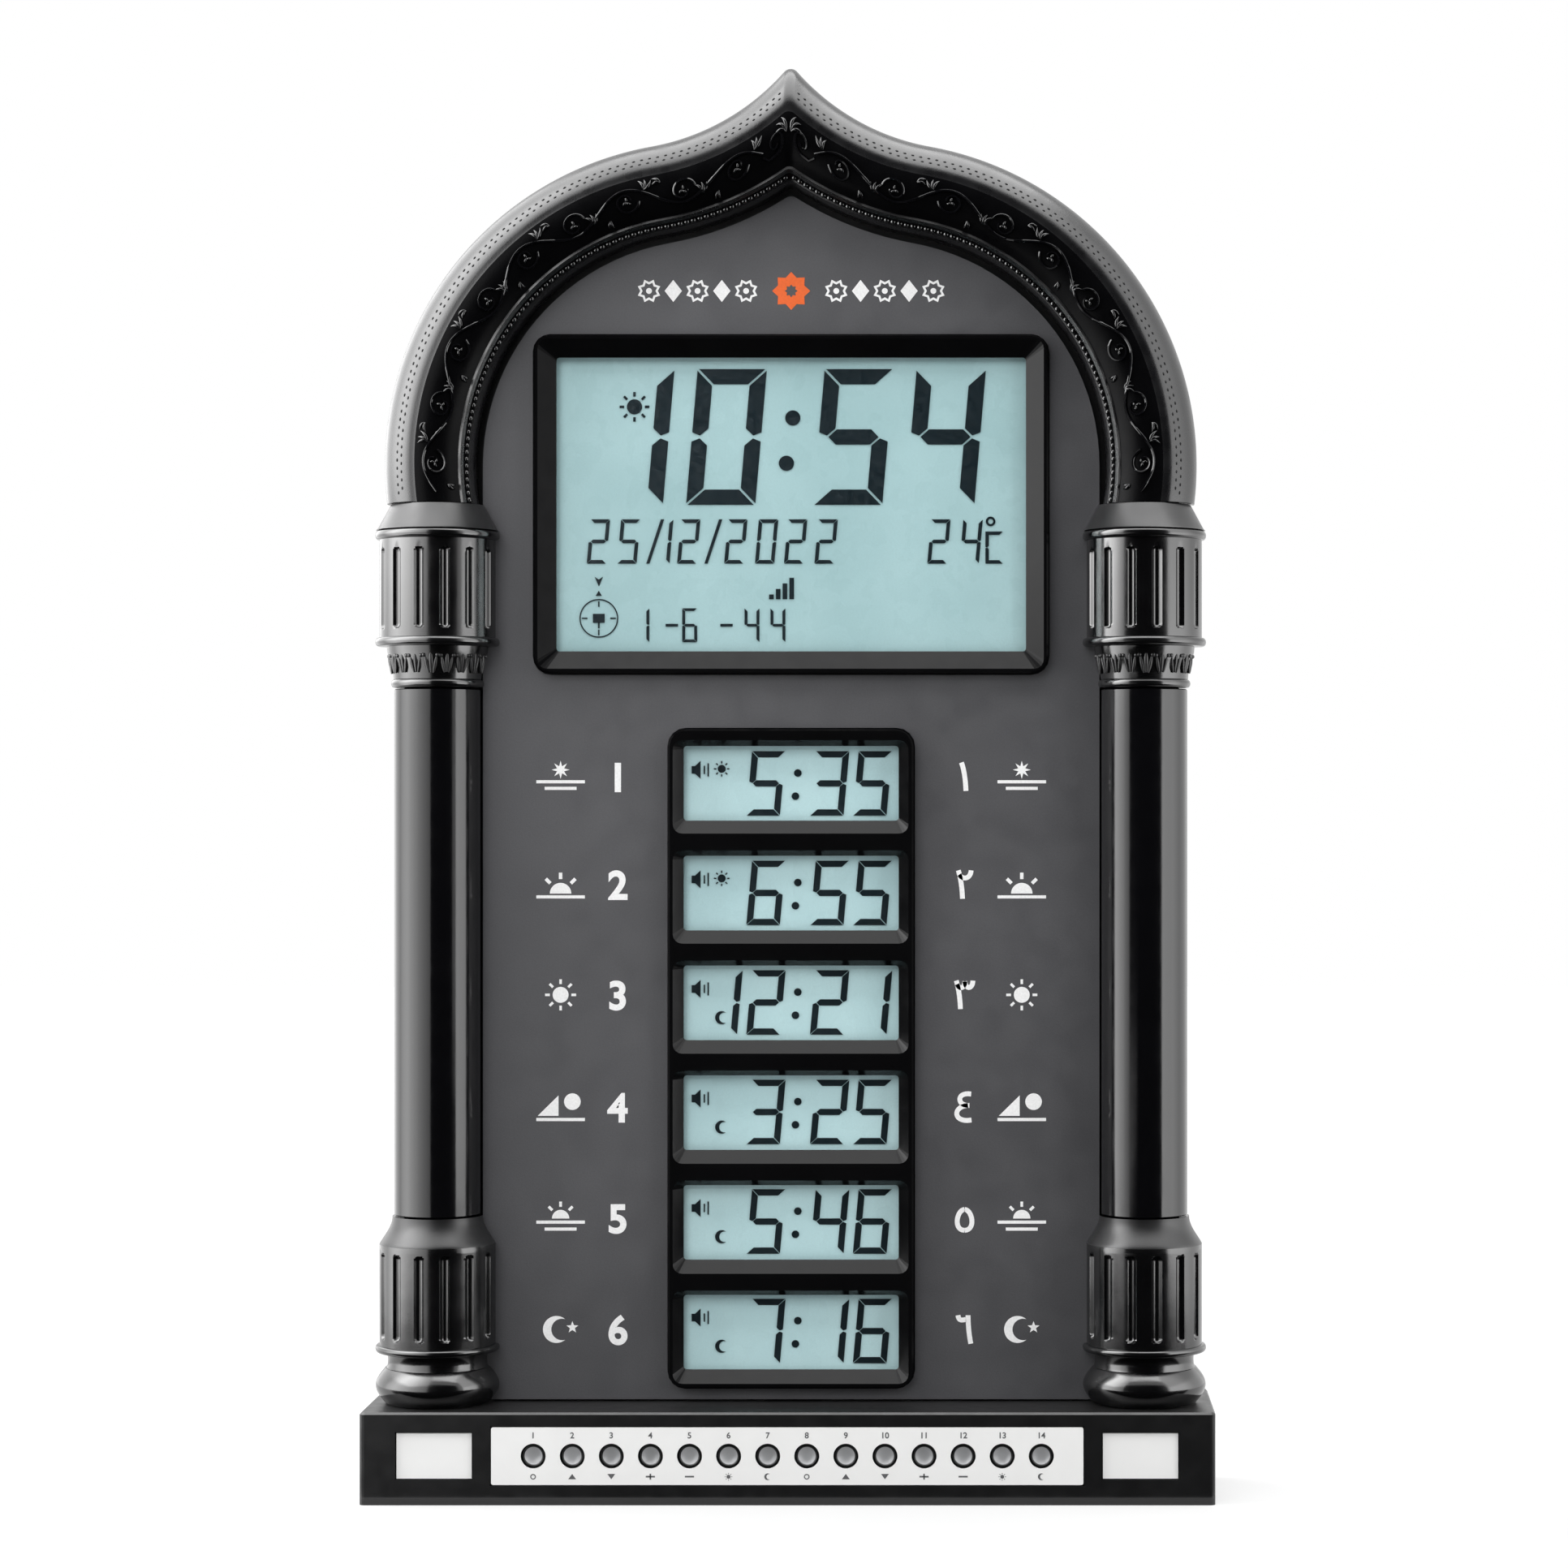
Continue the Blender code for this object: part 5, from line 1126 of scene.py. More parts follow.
    def build(self) -> None:
        """Make the arch and everything carved on it."""
        place_piece(
            "arch_band", self._band(), Finish.CARVED_BLACK_ABS,
            stands_for=("arch_moulding",), sharp_degrees=32, accent=Finish.FIELD_BLACK_ABS,
        )
        place_piece(
            "arch_scrolls", self._scrolls(), Finish.POLISHED_BLACK_ABS, sharp_degrees=60
        )
        bead = Shape()
        bead.dome((0.0, 0.0, 0.0), (0.86 * MM, 0.8 * MM, 0.75 * MM), 5, 10)
        self._row("arch_beads", Finish.GLOSSY_BLACK_ABS, bead, 151.0, -0.25, 1.0, 1.5, 1.95)
        for name, turn, first in (("arch_dots_1", 52.0, 2.4), ("arch_dots_2", 59.0, 3.6)):
            dot = Shape()
            dot.dome((0.0, 0.0, 0.0), (0.52 * MM, 0.3 * MM, 0.24 * MM))
            self._row(name, Finish.SHELL_BLACK_ABS, dot, turn, 0.0, first, 3.0, 2.35)


# The columns


@dataclass(frozen=True)
class ColumnSizes:
    """Sizes of a column, with profiles as pairs of radius and height in millimetres."""

    axis_x: float = 101.8
    axis_y: float = -3.0
    seat_y: float = -0.3
    panel_seat_y: float = -2.6
    panel_reach: float = 89.9
    sides: int = 240
    neck: float = 13.0
    flute_half: float = 1.3
    flute_depth: float = 1.1
    flute_turns: tuple[float, ...] = (-61.6, -35.9, -10.2, 15.5, 41.2, 66.9)
    shaft: tuple[Point2, ...] = ((12.1, 80.3), (12.4, 80.6), (12.4, 231.2), (12.1, 231.5))


class Columns:
    """A pair of columns, in millimetres: each a pedestal, a polished shaft and a capital."""

    def __init__(self, sizes: ColumnSizes) -> None:
        """Keep the sizes."""
        self.sizes = sizes

    def _skin(
        self, name: str, side: float, profile: Line,
        fluted: tuple[float, float] | None = None, satin_from: float = math.inf,
    ) -> Mesh:
        """Turn one column piece, with its back flattened against the case.

        Args:
            name: The mesh's name.
            side: -1 for the left column and 1 for the right.
            profile: Pairs of radius and height, from the foot upwards.
            fluted: Foot and top of the flutes.
            satin_from: Height from which the piece has its second finish.

        Returns:
            The mesh.
        """
        sizes = self.sizes
        loops = []
        for radius, height in profile:
            loop = []
            for index in range(sizes.sides):
                turn = 360.0 * (index + 0.5) / sizes.sides - 180.0
                reach = radius
                if fluted:
                    reach -= self._flute(-turn * side, height, radius, fluted)
                x = sizes.axis_x * side + reach * math.sin(math.radians(turn))
                y = sizes.axis_y - reach * math.cos(math.radians(turn))
                limit = sizes.panel_seat_y if side * x < sizes.panel_reach else sizes.seat_y
                loop.append((x * MM, min(y, limit) * MM, height * MM))
            loops.append(loop)
        shape = Shape()
        shape.loft(loops, accent=lambda row, _: profile[row][1] >= satin_from)
        return shape.finish_mesh(name)

    def _flute(
        self, turn: float, height: float, radius: float, fluted: tuple[float, float]
    ) -> float:
        """Depth of a round-ended flute at a turn and height, in millimetres.

        Args:
            turn: Turn from the front, in degrees.
            height: Height on the column.
            radius: The drum's radius.
            fluted: Foot and top of the flutes.

        Returns:
            The depth.
        """
        sizes = self.sizes
        foot, top = fluted
        past = max(foot + sizes.flute_half - height, height - top + sizes.flute_half, 0.0)
        for middle in sizes.flute_turns:
            across = radius * math.radians(turn - middle)
            inside = 1 - (across ** 2 + past ** 2) / sizes.flute_half ** 2
            if inside > 0:
                return sizes.flute_depth * math.sqrt(inside)
        return 0.0

    @staticmethod
    def _roll(radius: float, foot: float, height: float, bulge: float) -> list[Point2]:
        """Profile of a rounded ring that swells outwards by a bulge to the given radius.

        Args:
            radius: Its greatest radius.
            foot: Height of its foot.
            height: Its own height.
            bulge: How far it swells.

        Returns:
            Pairs of radius and height.
        """
        turns = [math.pi * step / 8 for step in range(9)]
        return [
            (radius - bulge * (1 - math.sin(turn)), foot + height * (1 - math.cos(turn)) / 2)
            for turn in turns
        ]

    @staticmethod
    def _drum(radius: float, foot: float, top: float, margin: float) -> list[Point2]:
        """Profile of a drum with rows close together at the ends of its flutes.

        Args:
            radius: Its radius.
            foot: Height of its foot.
            top: Height of its top.
            margin: Distance from each end to the flutes.

        Returns:
            Pairs of radius and height.
        """
        heights = [foot, foot + margin * 0.8]
        heights += [foot + margin + 1.5 * step / 7 for step in range(8)]
        heights += [top - margin - 1.5 * step / 7 for step in range(7, -1, -1)]
        heights += [top - margin * 0.8, top]
        return [(radius, height) for height in heights]

    def _pedestal(self) -> list[Point2]:
        """Foot, waist, lip, drum and bell.

        Returns:
            Pairs of radius and height.
        """
        foot = [
            (17.7 - 2.75 * (1 - math.cos(math.pi * (step / 16 - 0.5))), 26.5 + 10.0 * step / 16)
            for step in range(17)
        ]
        waist = [(14.6, 36.6), (14.3, 37.4), (14.2, 38.7), (14.3, 40.2), (14.6, 40.9)]
        bell = [
            (12.9 + 3.7 * (1 - math.sin(math.pi / 2 * (step / 12)) ** 1.15), 72.0 + 8.0 * step / 12)
            for step in range(1, 13)
        ]
        lip = self._roll(17.8, 41.1, 2.0, 0.7)
        return foot + waist + lip + self._drum(16.6, 43.2, 72.0, 2.0) + bell

    def _capital(self) -> list[Point2]:
        """Astragal, neck, lower lip, drum, upper lip and flare.

        Returns:
            Pairs of radius and height.
        """
        neck = [
            (12.6, 234.3), (12.7, 235.6), (12.9, 237.4), (13.5, 239.4), (14.3, 241.8),
            (14.5, 243.6),
        ]
        upper = [(16.6, 274.3)] + self._roll(17.8, 274.4, 2.5, 0.8)
        return (
            [(12.3, 231.8)] + self._roll(13.3, 231.9, 2.3, 0.8) + neck
            + self._roll(17.8, 243.75, 2.45, 0.9) + self._drum(16.6, 246.3, 273.85, 2.2)
            + upper + [(17.6, 277.1), (17.1, 277.5), (13.6, 284.0), (13.3, 284.4)]
        )

    def _leaves(self, side: float) -> Mesh:
        """Set a band of upright leaves round the neck of the capital.

        Args:
            side: -1 for the left column and 1 for the right.

        Returns:
            The band's mesh.
        """
        leaf = Shape()

        def rise(across: float, up: float) -> Point3:
            """Place a leaf's point on the flaring neck."""
            return across * MM, up * MM, (0.1 + 0.17 * max(up + 1.0, 0.0)) * MM

        for across, up, half, rise_half in (
            (0.0, 0.6, 0.75, 3.3), (-1.15, -0.3, 0.6, 2.5), (1.15, -0.3, 0.6, 2.5),
        ):
            shares = [step / 8 for step in range(9)]
            leaf.tube(
                [
                    rise(across * (0.55 + 0.9 * share), up - rise_half + 2 * rise_half * share)
                    for share in shares
                ],
                [
                    half * max(math.sin(math.pi * (0.12 + 0.8 * share)), 0.3) * MM
                    for share in shares
                ],
            )
        for hand in (-1, 1):
            leaf.dome(rise(hand * 1.9, 2.2), (0.75 * MM,) * 3, 3)
        path = []
        for turn in range(-168, -11, 3):
            x, y = around(self.sizes.axis_x * side, self.sizes.axis_y, self.sizes.neck, turn)
            path.append((x * MM, y * MM, 238.7 * MM))
        return PathRow.grow(path, leaf.finish_mesh("leaf"), 9, Finish.SATIN_BLACK_ABS, 0.03)

    def build(self) -> None:
        """Make both columns."""
        gloss, satin = Finish.GLOSSY_BLACK_ABS, Finish.SATIN_BLACK_ABS
        for side, hand in ((-1.0, "left"), (1.0, "right")):
            for name, profile, fluted, satin_from in (
                ("pedestal", self._pedestal(), (45.2, 70.0), 72.0),
                ("shaft", self.sizes.shaft, None, None),
                ("capital", self._capital(), (248.5, 271.7), 277.0),
            ):
                if fluted is None:
                    place_piece(
                        f"{name}_polished_{hand}", self._skin(name, side, profile),
                        Finish.POLISHED_BLACK_ABS, stands_for=(f"{name}_{hand}",),
                    )
                else:
                    place_piece(
                        f"{name}_turned_{hand}",
                        self._skin(name, side, profile, fluted, satin_from), gloss,
                        stands_for=(f"{name}_{hand}",), sharp_degrees=30, accent=satin,
                    )
            place_piece(
                f"capital_leaves_{hand}", self._leaves(side), satin, sharp_degrees=60
            )


# Flat marks: display segments and screen print


# Which of the segments a to g light up for each figure
SEGMENTS = {
    " ": "", "0": "abcdef", "1": "bc", "2": "abged", "3": "abgcd", "4": "fgbc", "5": "afgcd",
    "6": "afgedc", "7": "abc", "8": "abcdefg", "9": "abfgcd", "C": "afed",
}


@dataclass(frozen=True)
class DigitStyle:
    """Sizes of a seven-segment figure in millimetres."""

    width: float
    height: float
    upright: float
    level: float
    slope: float
    gap: float

    def outlines(self) -> dict[str, Line]:
        """Give the outline of each segment, from a to g, before the figure slants.

        Returns:
            Outlines by the segment's letter.
        """
        wide, high, up, level, gap = self.width, self.height, self.upright, self.level, self.gap
        half, near = high / 2, wide - up - gap
        shapes: dict[str, Line] = {
            "a": ((gap, high), (wide - gap, high), (near, high - level), (up + gap, high - level)),
            "d": ((gap, 0.0), (up + gap, level), (near, level), (wide - gap, 0.0)),
            "g": (
                (up / 2 + gap, half), (up + gap, half + level / 2), (near, half + level / 2),
                (wide - up / 2 - gap, half), (near, half - level / 2),
                (up + gap, half - level / 2),
            ),
        }
        for name, mirrored, lifted in (("f", 0, 1), ("b", 1, 1), ("e", 0, 0), ("c", 1, 0)):
            line = [
                (0.0, high - gap), (up, high - level - gap), (up, half + level / 2 + gap * 0.6),
                (up / 2, half + gap * 0.9), (0.0, half + gap * 0.9 + up * 0.2),
            ]
            if not lifted:
                line = [(x, high - z) for x, z in line]
            shapes[name] = [(wide - x, z) for x, z in line] if mirrored else line
        return shapes


class Marks(Shape):
    """Thin flat marks, all between two depths, with places and sizes in millimetres."""

    def __init__(self, front_y: float, back_y: float) -> None:
        """Keep the two depths."""
        super().__init__()
        self.front_y = front_y
        self.back_y = back_y

    def patch(self, outline: Line) -> None:
        """Add a filled outline."""
        self.prism([(x * MM, z * MM) for x, z in outline], self.front_y * MM, self.back_y * MM)

    def bar(self, left: float, right: float, foot: float, top: float, slope: float = 0.0) -> None:
        """Add an upright or slanting rectangle."""
        lean = slope * (top - foot)
        self.patch([(left, foot), (right, foot), (right + lean, top), (left + lean, top)])

    def disc(self, x: float, z: float, radius: float, sides: int = 32) -> None:
        """Add a filled circle."""
        self.patch(self.circle(x, z, radius, sides))

    @staticmethod
    def circle(x: float, z: float, radius: float, sides: int = 32) -> list[Point2]:
        """Points of a circle."""
        return [around(x, z, radius, 360 * side / sides) for side in range(sides)]

    def ring(self, outer: Line, inner: Line) -> None:
        """Add the band between two outlines of the same number of points.

        Args:
            outer: The outer edge.
            inner: The inner edge.
        """
        self.loft(
            [
                [(x * MM, depth * MM, z * MM) for x, z in outline]
                for outline, depth in (
                    (outer, self.front_y), (outer, self.back_y),
                    (inner, self.back_y), (inner, self.front_y),
                )
            ],
            ring=True,
        )

    @staticmethod
    def star_line(
        x: float, z: float, points: int, outer: float, inner: float, turn: float = 90.0
    ) -> list[Point2]:
        """Outline of a star.

        Args:
            x: Its middle across.
            z: Its middle's height.
            points: How many points it has.
            outer: Radius of its points.
            inner: Radius between them.
            turn: Direction of its first point, in degrees.

        Returns:
            The outline's points.
        """
        return [
            around(x, z, inner if index % 2 else outer, turn + 180 * index / points)
            for index in range(points * 2)
        ]

    def crescent(self, x: float, z: float, radius: float) -> None:
        """Add a crescent that opens to the right.

        Args:
            x: Its middle across.
            z: Its middle's height.
            radius: Radius of its outer edge.
        """
        line = [around(x, z, radius, 50 + 260 * step / 24) for step in range(25)]
        line += [
            around(x + radius * 0.42, z, radius * 0.8, -73.8 - 212.4 * step / 20)
            for step in range(1, 20)
        ]
        self.patch(line)

    def spoke(
        self, x: float, z: float, near: float, far: float, half: float, degrees: float
    ) -> None:
        """Add a bar of a half width that points away from a centre, from near to far.

        Args:
            x: The centre across.
            z: The centre's height.
            near: Distance of its near end.
            far: Distance of its far end.
            half: Half its width.
            degrees: Its direction.
        """
        across, up = around(0.0, 0.0, 1.0, degrees)
        self.patch([
            (x + across * reach - up * hand, z + up * reach + across * hand)
            for reach, hand in ((near, -half), (far, -half), (far, half), (near, half))
        ])

    def sun(self, x: float, z: float, radius: float, rising: bool = False) -> None:
        """Add a sun with rays, or its upper half.

        Args:
            x: Its middle across.
            z: Its middle's height.
            radius: Radius of its disc.
            rising: Whether only the upper half shows.
        """
        if rising:
            self.patch([around(x, z, radius, 9 * step) for step in range(21)])
        else:
            self.disc(x, z, radius)
        for turn in range(45, 180, 45) if rising else range(0, 360, 45):
            self.spoke(x, z, radius * 1.35, radius * 1.95, radius * 0.16, turn)

    def stroke(self, line: Line, width: float) -> None:
        """Add a pen stroke along a line that turns gently.

        Args:
            line: The pen's way.
            width: The stroke's width.
        """
        sides: tuple[list[Point2], list[Point2]] = ([], [])
        for index, (x, z) in enumerate(line):
            before, after = line[max(index - 1, 0)], line[min(index + 1, len(line) - 1)]
            run, rise = after[0] - before[0], after[1] - before[1]
            half = width / 2 / math.hypot(run, rise)
            sides[0].append((x - rise * half, z + run * half))
            sides[1].append((x + rise * half, z - run * half))
        self.patch(sides[0] + sides[1][::-1])

    def curve(self, corners: Line, width: float) -> None:
        """Add a pen stroke along the smooth curve that four corners steer.

        Args:
            corners: The four points that steer it.
            width: The stroke's width.
        """
        line = []
        for step in range(15):
            share = step / 14
            left = 1 - share
            weights = (left ** 3, 3 * share * left ** 2, 3 * share ** 2 * left, share ** 3)
            line.append((
                sum(weight * x for weight, (x, _) in zip(weights, corners)),
                sum(weight * z for weight, (_, z) in zip(weights, corners)),
            ))
        self.stroke(line, width)

    def figures(self, words: str, x: float, foot: float, height: float, heavy: float = 0.0) -> None:
        """Add plain figures centred on X, thickened by a share.

        Args:
            words: The figures.
            x: Their middle.
            foot: Their lowest line.
            height: Their height.
            heavy: How far their edges are pushed outwards.
        """
        curve = bpy.data.curves.new("figures", "FONT")
        curve.body, curve.size, curve.align_x = words, height * MM / 0.72, "CENTER"
        curve.offset, curve.extrude = heavy * MM, 0.02 * MM
        self.take(upright(curve), (x * MM, (self.front_y + self.back_y) / 2 * MM, foot * MM))

    def digits(
        self, figures: str, lefts: Sequence[float], foot: float, style: DigitStyle
    ) -> None:
        """Add seven-segment figures.

        Args:
            figures: Keys of SEGMENTS.
            lefts: Left end of each one's foot.
            foot: Their lowest line.
            style: Their sizes.
        """
        shapes = style.outlines()
        for figure, left in zip(figures, lefts):
            for segment in SEGMENTS[figure]:
                self.patch([(left + x + style.slope * z, foot + z) for x, z in shapes[segment]])


# The displays


class Displays:
    """What the large display and the six small ones show, in millimetres."""

    # Front and back of every segment
    DEPTHS = (-0.22, -0.12)
    BIG = DigitStyle(20.0, 39.2, 4.6, 4.4, 0.0855, 0.45)
    DATE = DigitStyle(5.6, 12.8, 1.05, 1.05, 0.09, 0.12)
    DEGREE = DigitStyle(5.0, 9.3, 1.0, 1.0, 0.0, 0.0)
    SMALL = DigitStyle(9.7, 18.6, 1.85, 1.8, 0.09, 0.15)
    TINY = DigitStyle(4.3, 9.8, 0.85, 0.8, 0.0, 0.08)
    ROW_PITCH = 31.65
    ROW_FIRST = 46.15
    TIMES = (" 535", " 655", "1221", " 325", " 546", " 716")

    def _large(self) -> Marks:
        """Mark the large display: clock, date, temperature, compass and small rows.

        Returns:
            The marks.
        """
        marks = Marks(*self.DEPTHS)
        marks.digits("1054", (-57.2, -30.5, 6.2, 32.8), 284.9, self.BIG)
        marks.disc(0.35, 310.0, 2.2)
        marks.disc(-1.5, 296.9, 2.2)
        marks.sun(-45.4, 313.2, 2.2)
        date_foot = 267.9
        lefts = (-59.2, -50.4, -40.9, -33.1, -19.5, -10.6, -2.2, 6.6, 39.2, 48.5)
        marks.digits("2512202224", lefts, date_foot, self.DATE)
        for left in (-42.0, -25.2):
            marks.bar(left, left + 0.95, date_foot, date_foot + self.DATE.height, 0.33)
        marks.ring(marks.circle(57.5, 280.1, 1.4, 20), marks.circle(57.5, 280.1, 0.75, 20))
        marks.digits("C", (56.0,), date_foot, self.DEGREE)
        self._compass(marks, -55.7, 252.1, 5.6)
        for index in range(4):
            left = -6.5 + index * 1.95
            marks.bar(left, left + 1.35, 257.6, 259.0 + index * 1.6)
        marks.digits("1644", (-45.4, -31.6, -13.6, -6.1), 245.2, self.TINY)
        for left in (-36.4, -20.6):
            marks.bar(left, left + 3.6, 249.7, 250.5)
        return marks

    @staticmethod
    def _compass(marks: Marks, x: float, z: float, radius: float) -> None:
        """Draw a ring with four ticks, a block in its middle and a pointer above.

        Args:
            marks: The marks that take it.
            x: Its middle across.
            z: Its middle's height.
            radius: The ring's radius.
        """
        marks.ring(marks.circle(x, z, radius, 40), marks.circle(x, z, radius - 0.35, 40))
        for turn in range(0, 360, 90):
            marks.spoke(x, z, 3.3, 4.9, 0.2, turn)
        marks.bar(x - 1.7, x + 1.7, z - 1.3, z + 1.3)
        marks.bar(x - 0.25, x + 0.25, z - 2.9, z - 1.3)
        marks.patch([(x - 0.9, z + 6.5), (x + 0.9, z + 6.5), (x, z + 8.0)])
        marks.patch([(x, z + 9.2), (x - 1.2, z + 12.0), (x, z + 11.2), (x + 1.2, z + 12.0)])

    def _small(self, row: int, time: str, after_noon: bool) -> Marks:
        """Mark one small display.

        Args:
            row: 1 for the highest.
            time: Four figures, with a space where the first is blank.
            after_noon: Whether the lower mark is on.

        Returns:
            The marks.
        """
        marks = Marks(*self.DEPTHS)
        middle = self.ROW_FIRST + self.ROW_PITCH * (len(self.TIMES) - row)
        foot = middle - self.SMALL.height / 2
        marks.digits(time, (-25.5, -13.1, 5.3, 17.7), foot, self.SMALL)
        marks.disc(1.8, middle + 3.0, 1.1, 20)
        marks.disc(1.1, middle - 3.7, 1.1, 20)
        marks.patch([
            (-28.9, middle + 2.8), (-27.9, middle + 2.8), (-26.3, middle + 1.3),
            (-26.3, middle + 6.5), (-27.9, middle + 5.0), (-28.9, middle + 5.0),
        ])
        for left, reach in ((-25.4, 1.2), (-24.3, 1.9)):
            marks.bar(left, left + 0.4, middle + 3.9 - reach, middle + 3.9 + reach)
        if after_noon:
            marks.crescent(-20.2, middle - 4.4, 1.9)
        elif row < 3:
            marks.sun(-20.2, middle + 4.2, 1.15)
        return marks

    def build(self) -> None:
        """Make every segment that is on."""
        shown = {"segments_large": self._large()}
        for row, time in enumerate(self.TIMES, 1):
            shown[f"segments_row_{row}"] = self._small(row, time, after_noon=row > 2)
        for name, marks in shown.items():
            place_piece(name, marks.finish_mesh(name), Finish.SEGMENT)


# Screen print on the face


class FacePrint:
    """White and orange print on the grey face sheet."""

    # Front and back of the ink, middle of each row of signs, and middle of the band
    DEPTHS = (-2.36, -2.3)
    ROWS = (206.3, 175.2, 143.4, 111.0, 79.0, 46.9)
    BAND = 346.4
    # Pen strokes of the eastern figures 1 to 6, each steered by four points in millimetres
    EASTERN: tuple[tuple[tuple[Point2, ...], ...], ...] = (
        (((-0.9, 8.2), (-0.1, 6.0), (0.3, 3.0), (0.4, 0.0)),),
        (
            ((-1.8, 8.2), (-1.1, 6.0), (-0.7, 3.0), (-0.6, 0.0)),
            ((-1.5, 7.0), (-0.6, 5.4), (1.7, 5.6), (1.9, 8.2)),
        ),
        (
            ((-2.4, 8.2), (-1.7, 6.0), (-1.3, 3.0), (-1.2, 0.0)),
            ((-2.1, 7.2), (-1.6, 5.7), (0.0, 5.7), (0.1, 8.0)),
            ((0.1, 8.0), (0.2, 5.7), (2.3, 5.5), (2.4, 8.2)),
        ),
        (
            ((1.9, 7.9), (-2.6, 8.6), (-2.2, 4.3), (1.4, 4.6)),
            ((1.0, 4.6), (-3.6, 4.4), (-3.4, -0.6), (2.0, 0.4)),
        ),
        (
            ((0.0, 0.6), (-3.4, 0.6), (-2.2, 6.6), (0.0, 6.6)),
            ((0.0, 6.6), (2.2, 6.6), (3.4, 0.6), (0.0, 0.6)),
        ),
        (
            ((-1.9, 8.2), (-1.7, 6.6), (-0.9, 6.7), (0.4, 7.0)),
            ((1.0, 8.2), (1.0, 6.0), (1.2, 3.0), (1.8, 0.0)),
        ),
    )

    def _symbol(self, marks: Marks, row: int, x: float, z: float) -> None:
        """Draw where the sun stands at a row's hour.

        Args:
            marks: The print.
            row: 0 for the highest.
            x: Middle of the sign.
            z: Middle of the sign.
        """
        line = (x - 7.0, x + 7.0)
        if row == 0:
            marks.bar(*line, z - 1.9, z - 1.0)
            marks.bar(x - 4.6, x + 4.6, z - 3.8, z - 2.9)
            marks.patch(marks.star_line(x, z + 2.0, 8, 2.6, 1.1))
        elif row == 1:
            marks.bar(*line, z - 4.0, z - 3.1)
            marks.sun(x, z - 2.6, 3.1, rising=True)
        elif row == 2:
            marks.sun(x, z, 2.3)
        elif row == 3:
            marks.bar(*line, z - 4.0, z - 3.1)
            marks.disc(x + 3.4, z + 1.6, 2.4)
            marks.patch([(x - 0.6, z - 2.5), (x - 6.6, z - 2.5), (x - 0.6, z + 3.4)])
        elif row == 4:
            marks.bar(*line, z - 1.6, z - 0.7)
            marks.sun(x, z - 0.1, 2.5, rising=True)
            marks.bar(x - 4.6, x + 4.6, z - 3.6, z - 2.7)
        else:
            marks.crescent(x - 1.2, z, 3.9)
            marks.patch(marks.star_line(x + 3.4, z + 0.6, 5, 1.8, 0.75))

    def _legends(self) -> Marks:
        """Number the rows on both sides.

        Returns:
            The print.
        """
        marks = Marks(*self.DEPTHS)
        sign_x, figure_x, height = 66.5, 50.0, 8.2
        for row, middle in enumerate(self.ROWS):
            self._symbol(marks, row, -sign_x, middle)
            self._symbol(marks, row, sign_x, middle)
            foot = middle - height / 2
            marks.figures(str(row + 1), -figure_x, foot, height, 0.35)
            for corners in self.EASTERN[row]:
                marks.curve([(figure_x + x, foot + z) for x, z in corners], 1.4)
        return marks

    def _band(self) -> Marks:
        """Print a traditional band of stars and lozenges on both sides of the middle star.

        Returns:
            The print.
        """
        marks = Marks(*self.DEPTHS)
        first, pitch, z = 13.0, 7.0, self.BAND
        for side in (-1.0, 1.0):
            for index in range(5):
                x = side * (first + index * pitch)
                if index % 2 == 0:
                    marks.ring(
                        marks.star_line(x, z, 8, 3.5, 2.55, 22.5),
                        marks.star_line(x, z, 8, 2.55, 1.85, 22.5),
                    )
                    marks.disc(x, z, 0.85, 20)
                else:
                    marks.patch([(x - 2.5, z), (x, z - 3.2), (x + 2.5, z), (x, z + 3.2)])
        return marks

    def _middle_star(self) -> Marks:
        """Print the orange eight-pointed star.

        Returns:
            The print.
        """
        marks = Marks(*self.DEPTHS)
        outer, inner = (
            marks.star_line(0.0, self.BAND, 8, *reach) for reach in ((5.5, 4.1), (1.9, 1.3))
        )
        marks.ring(outer, inner)
        return marks

    def build(self) -> None:
        """Make all the print."""
        for name, marks, ink, slot in (
            ("print_row_signs", self._legends(), Finish.WHITE_INK, "white_print"),
            ("print_band", self._band(), Finish.WHITE_INK, "white_print"),
            ("print_star", self._middle_star(), Finish.ORANGE_INK, None),
        ):
            place_piece(name, marks.finish_mesh(name), ink)


# The plinth: keys, white strip and inlays


def sheet_mesh(
    name: str, outline: Line, holes: Sequence[Line], front_y: float, back_y: float
) -> Mesh:
    """Cut a flat sheet with holes from a filled curve, in millimetres.

    Args:
        name: The mesh's name.
        outline: Its outer edge.
        holes: The edge of each hole.
        front_y: Depth of its front.
        back_y: Depth of its back.

    Returns:
        The sheet's mesh, in place.
    """
    curve = bpy.data.curves.new(name, "CURVE")
    curve.dimensions, curve.fill_mode = "2D", "BOTH"
    curve.extrude = (back_y - front_y) / 2 * MM
    for line in (outline, *holes):
        spline = curve.splines.new("POLY")
        spline.points.add(len(line) - 1)
        for point, (x, z) in zip(spline.points, line):
            point.co = (x * MM, z * MM, 0.0, 1.0)
        spline.use_cyclic_u = True
    shape = Shape()
    shape.take(upright(curve), (0.0, (front_y + back_y) / 2 * MM, 0.0))
    return shape.finish_mesh(name)


def rounded_box(width: float, height: float, corner: float, x: float, z: float) -> list[Point2]:
    """Outline of a rectangle with rounded corners.

    Args:
        width: Its width.
        height: Its height.
        corner: Radius of its corners.
        x: Its middle across.
        z: Its middle's height.

    Returns:
        The outline's points.
    """
    line = []
    for quarter, (across, up) in enumerate(((1, 1), (-1, 1), (-1, -1), (1, -1))):
        middle = x + across * (width / 2 - corner), z + up * (height / 2 - corner)
        line += [around(*middle, corner, 90 * quarter + 15 * step) for step in range(7)]
    return line


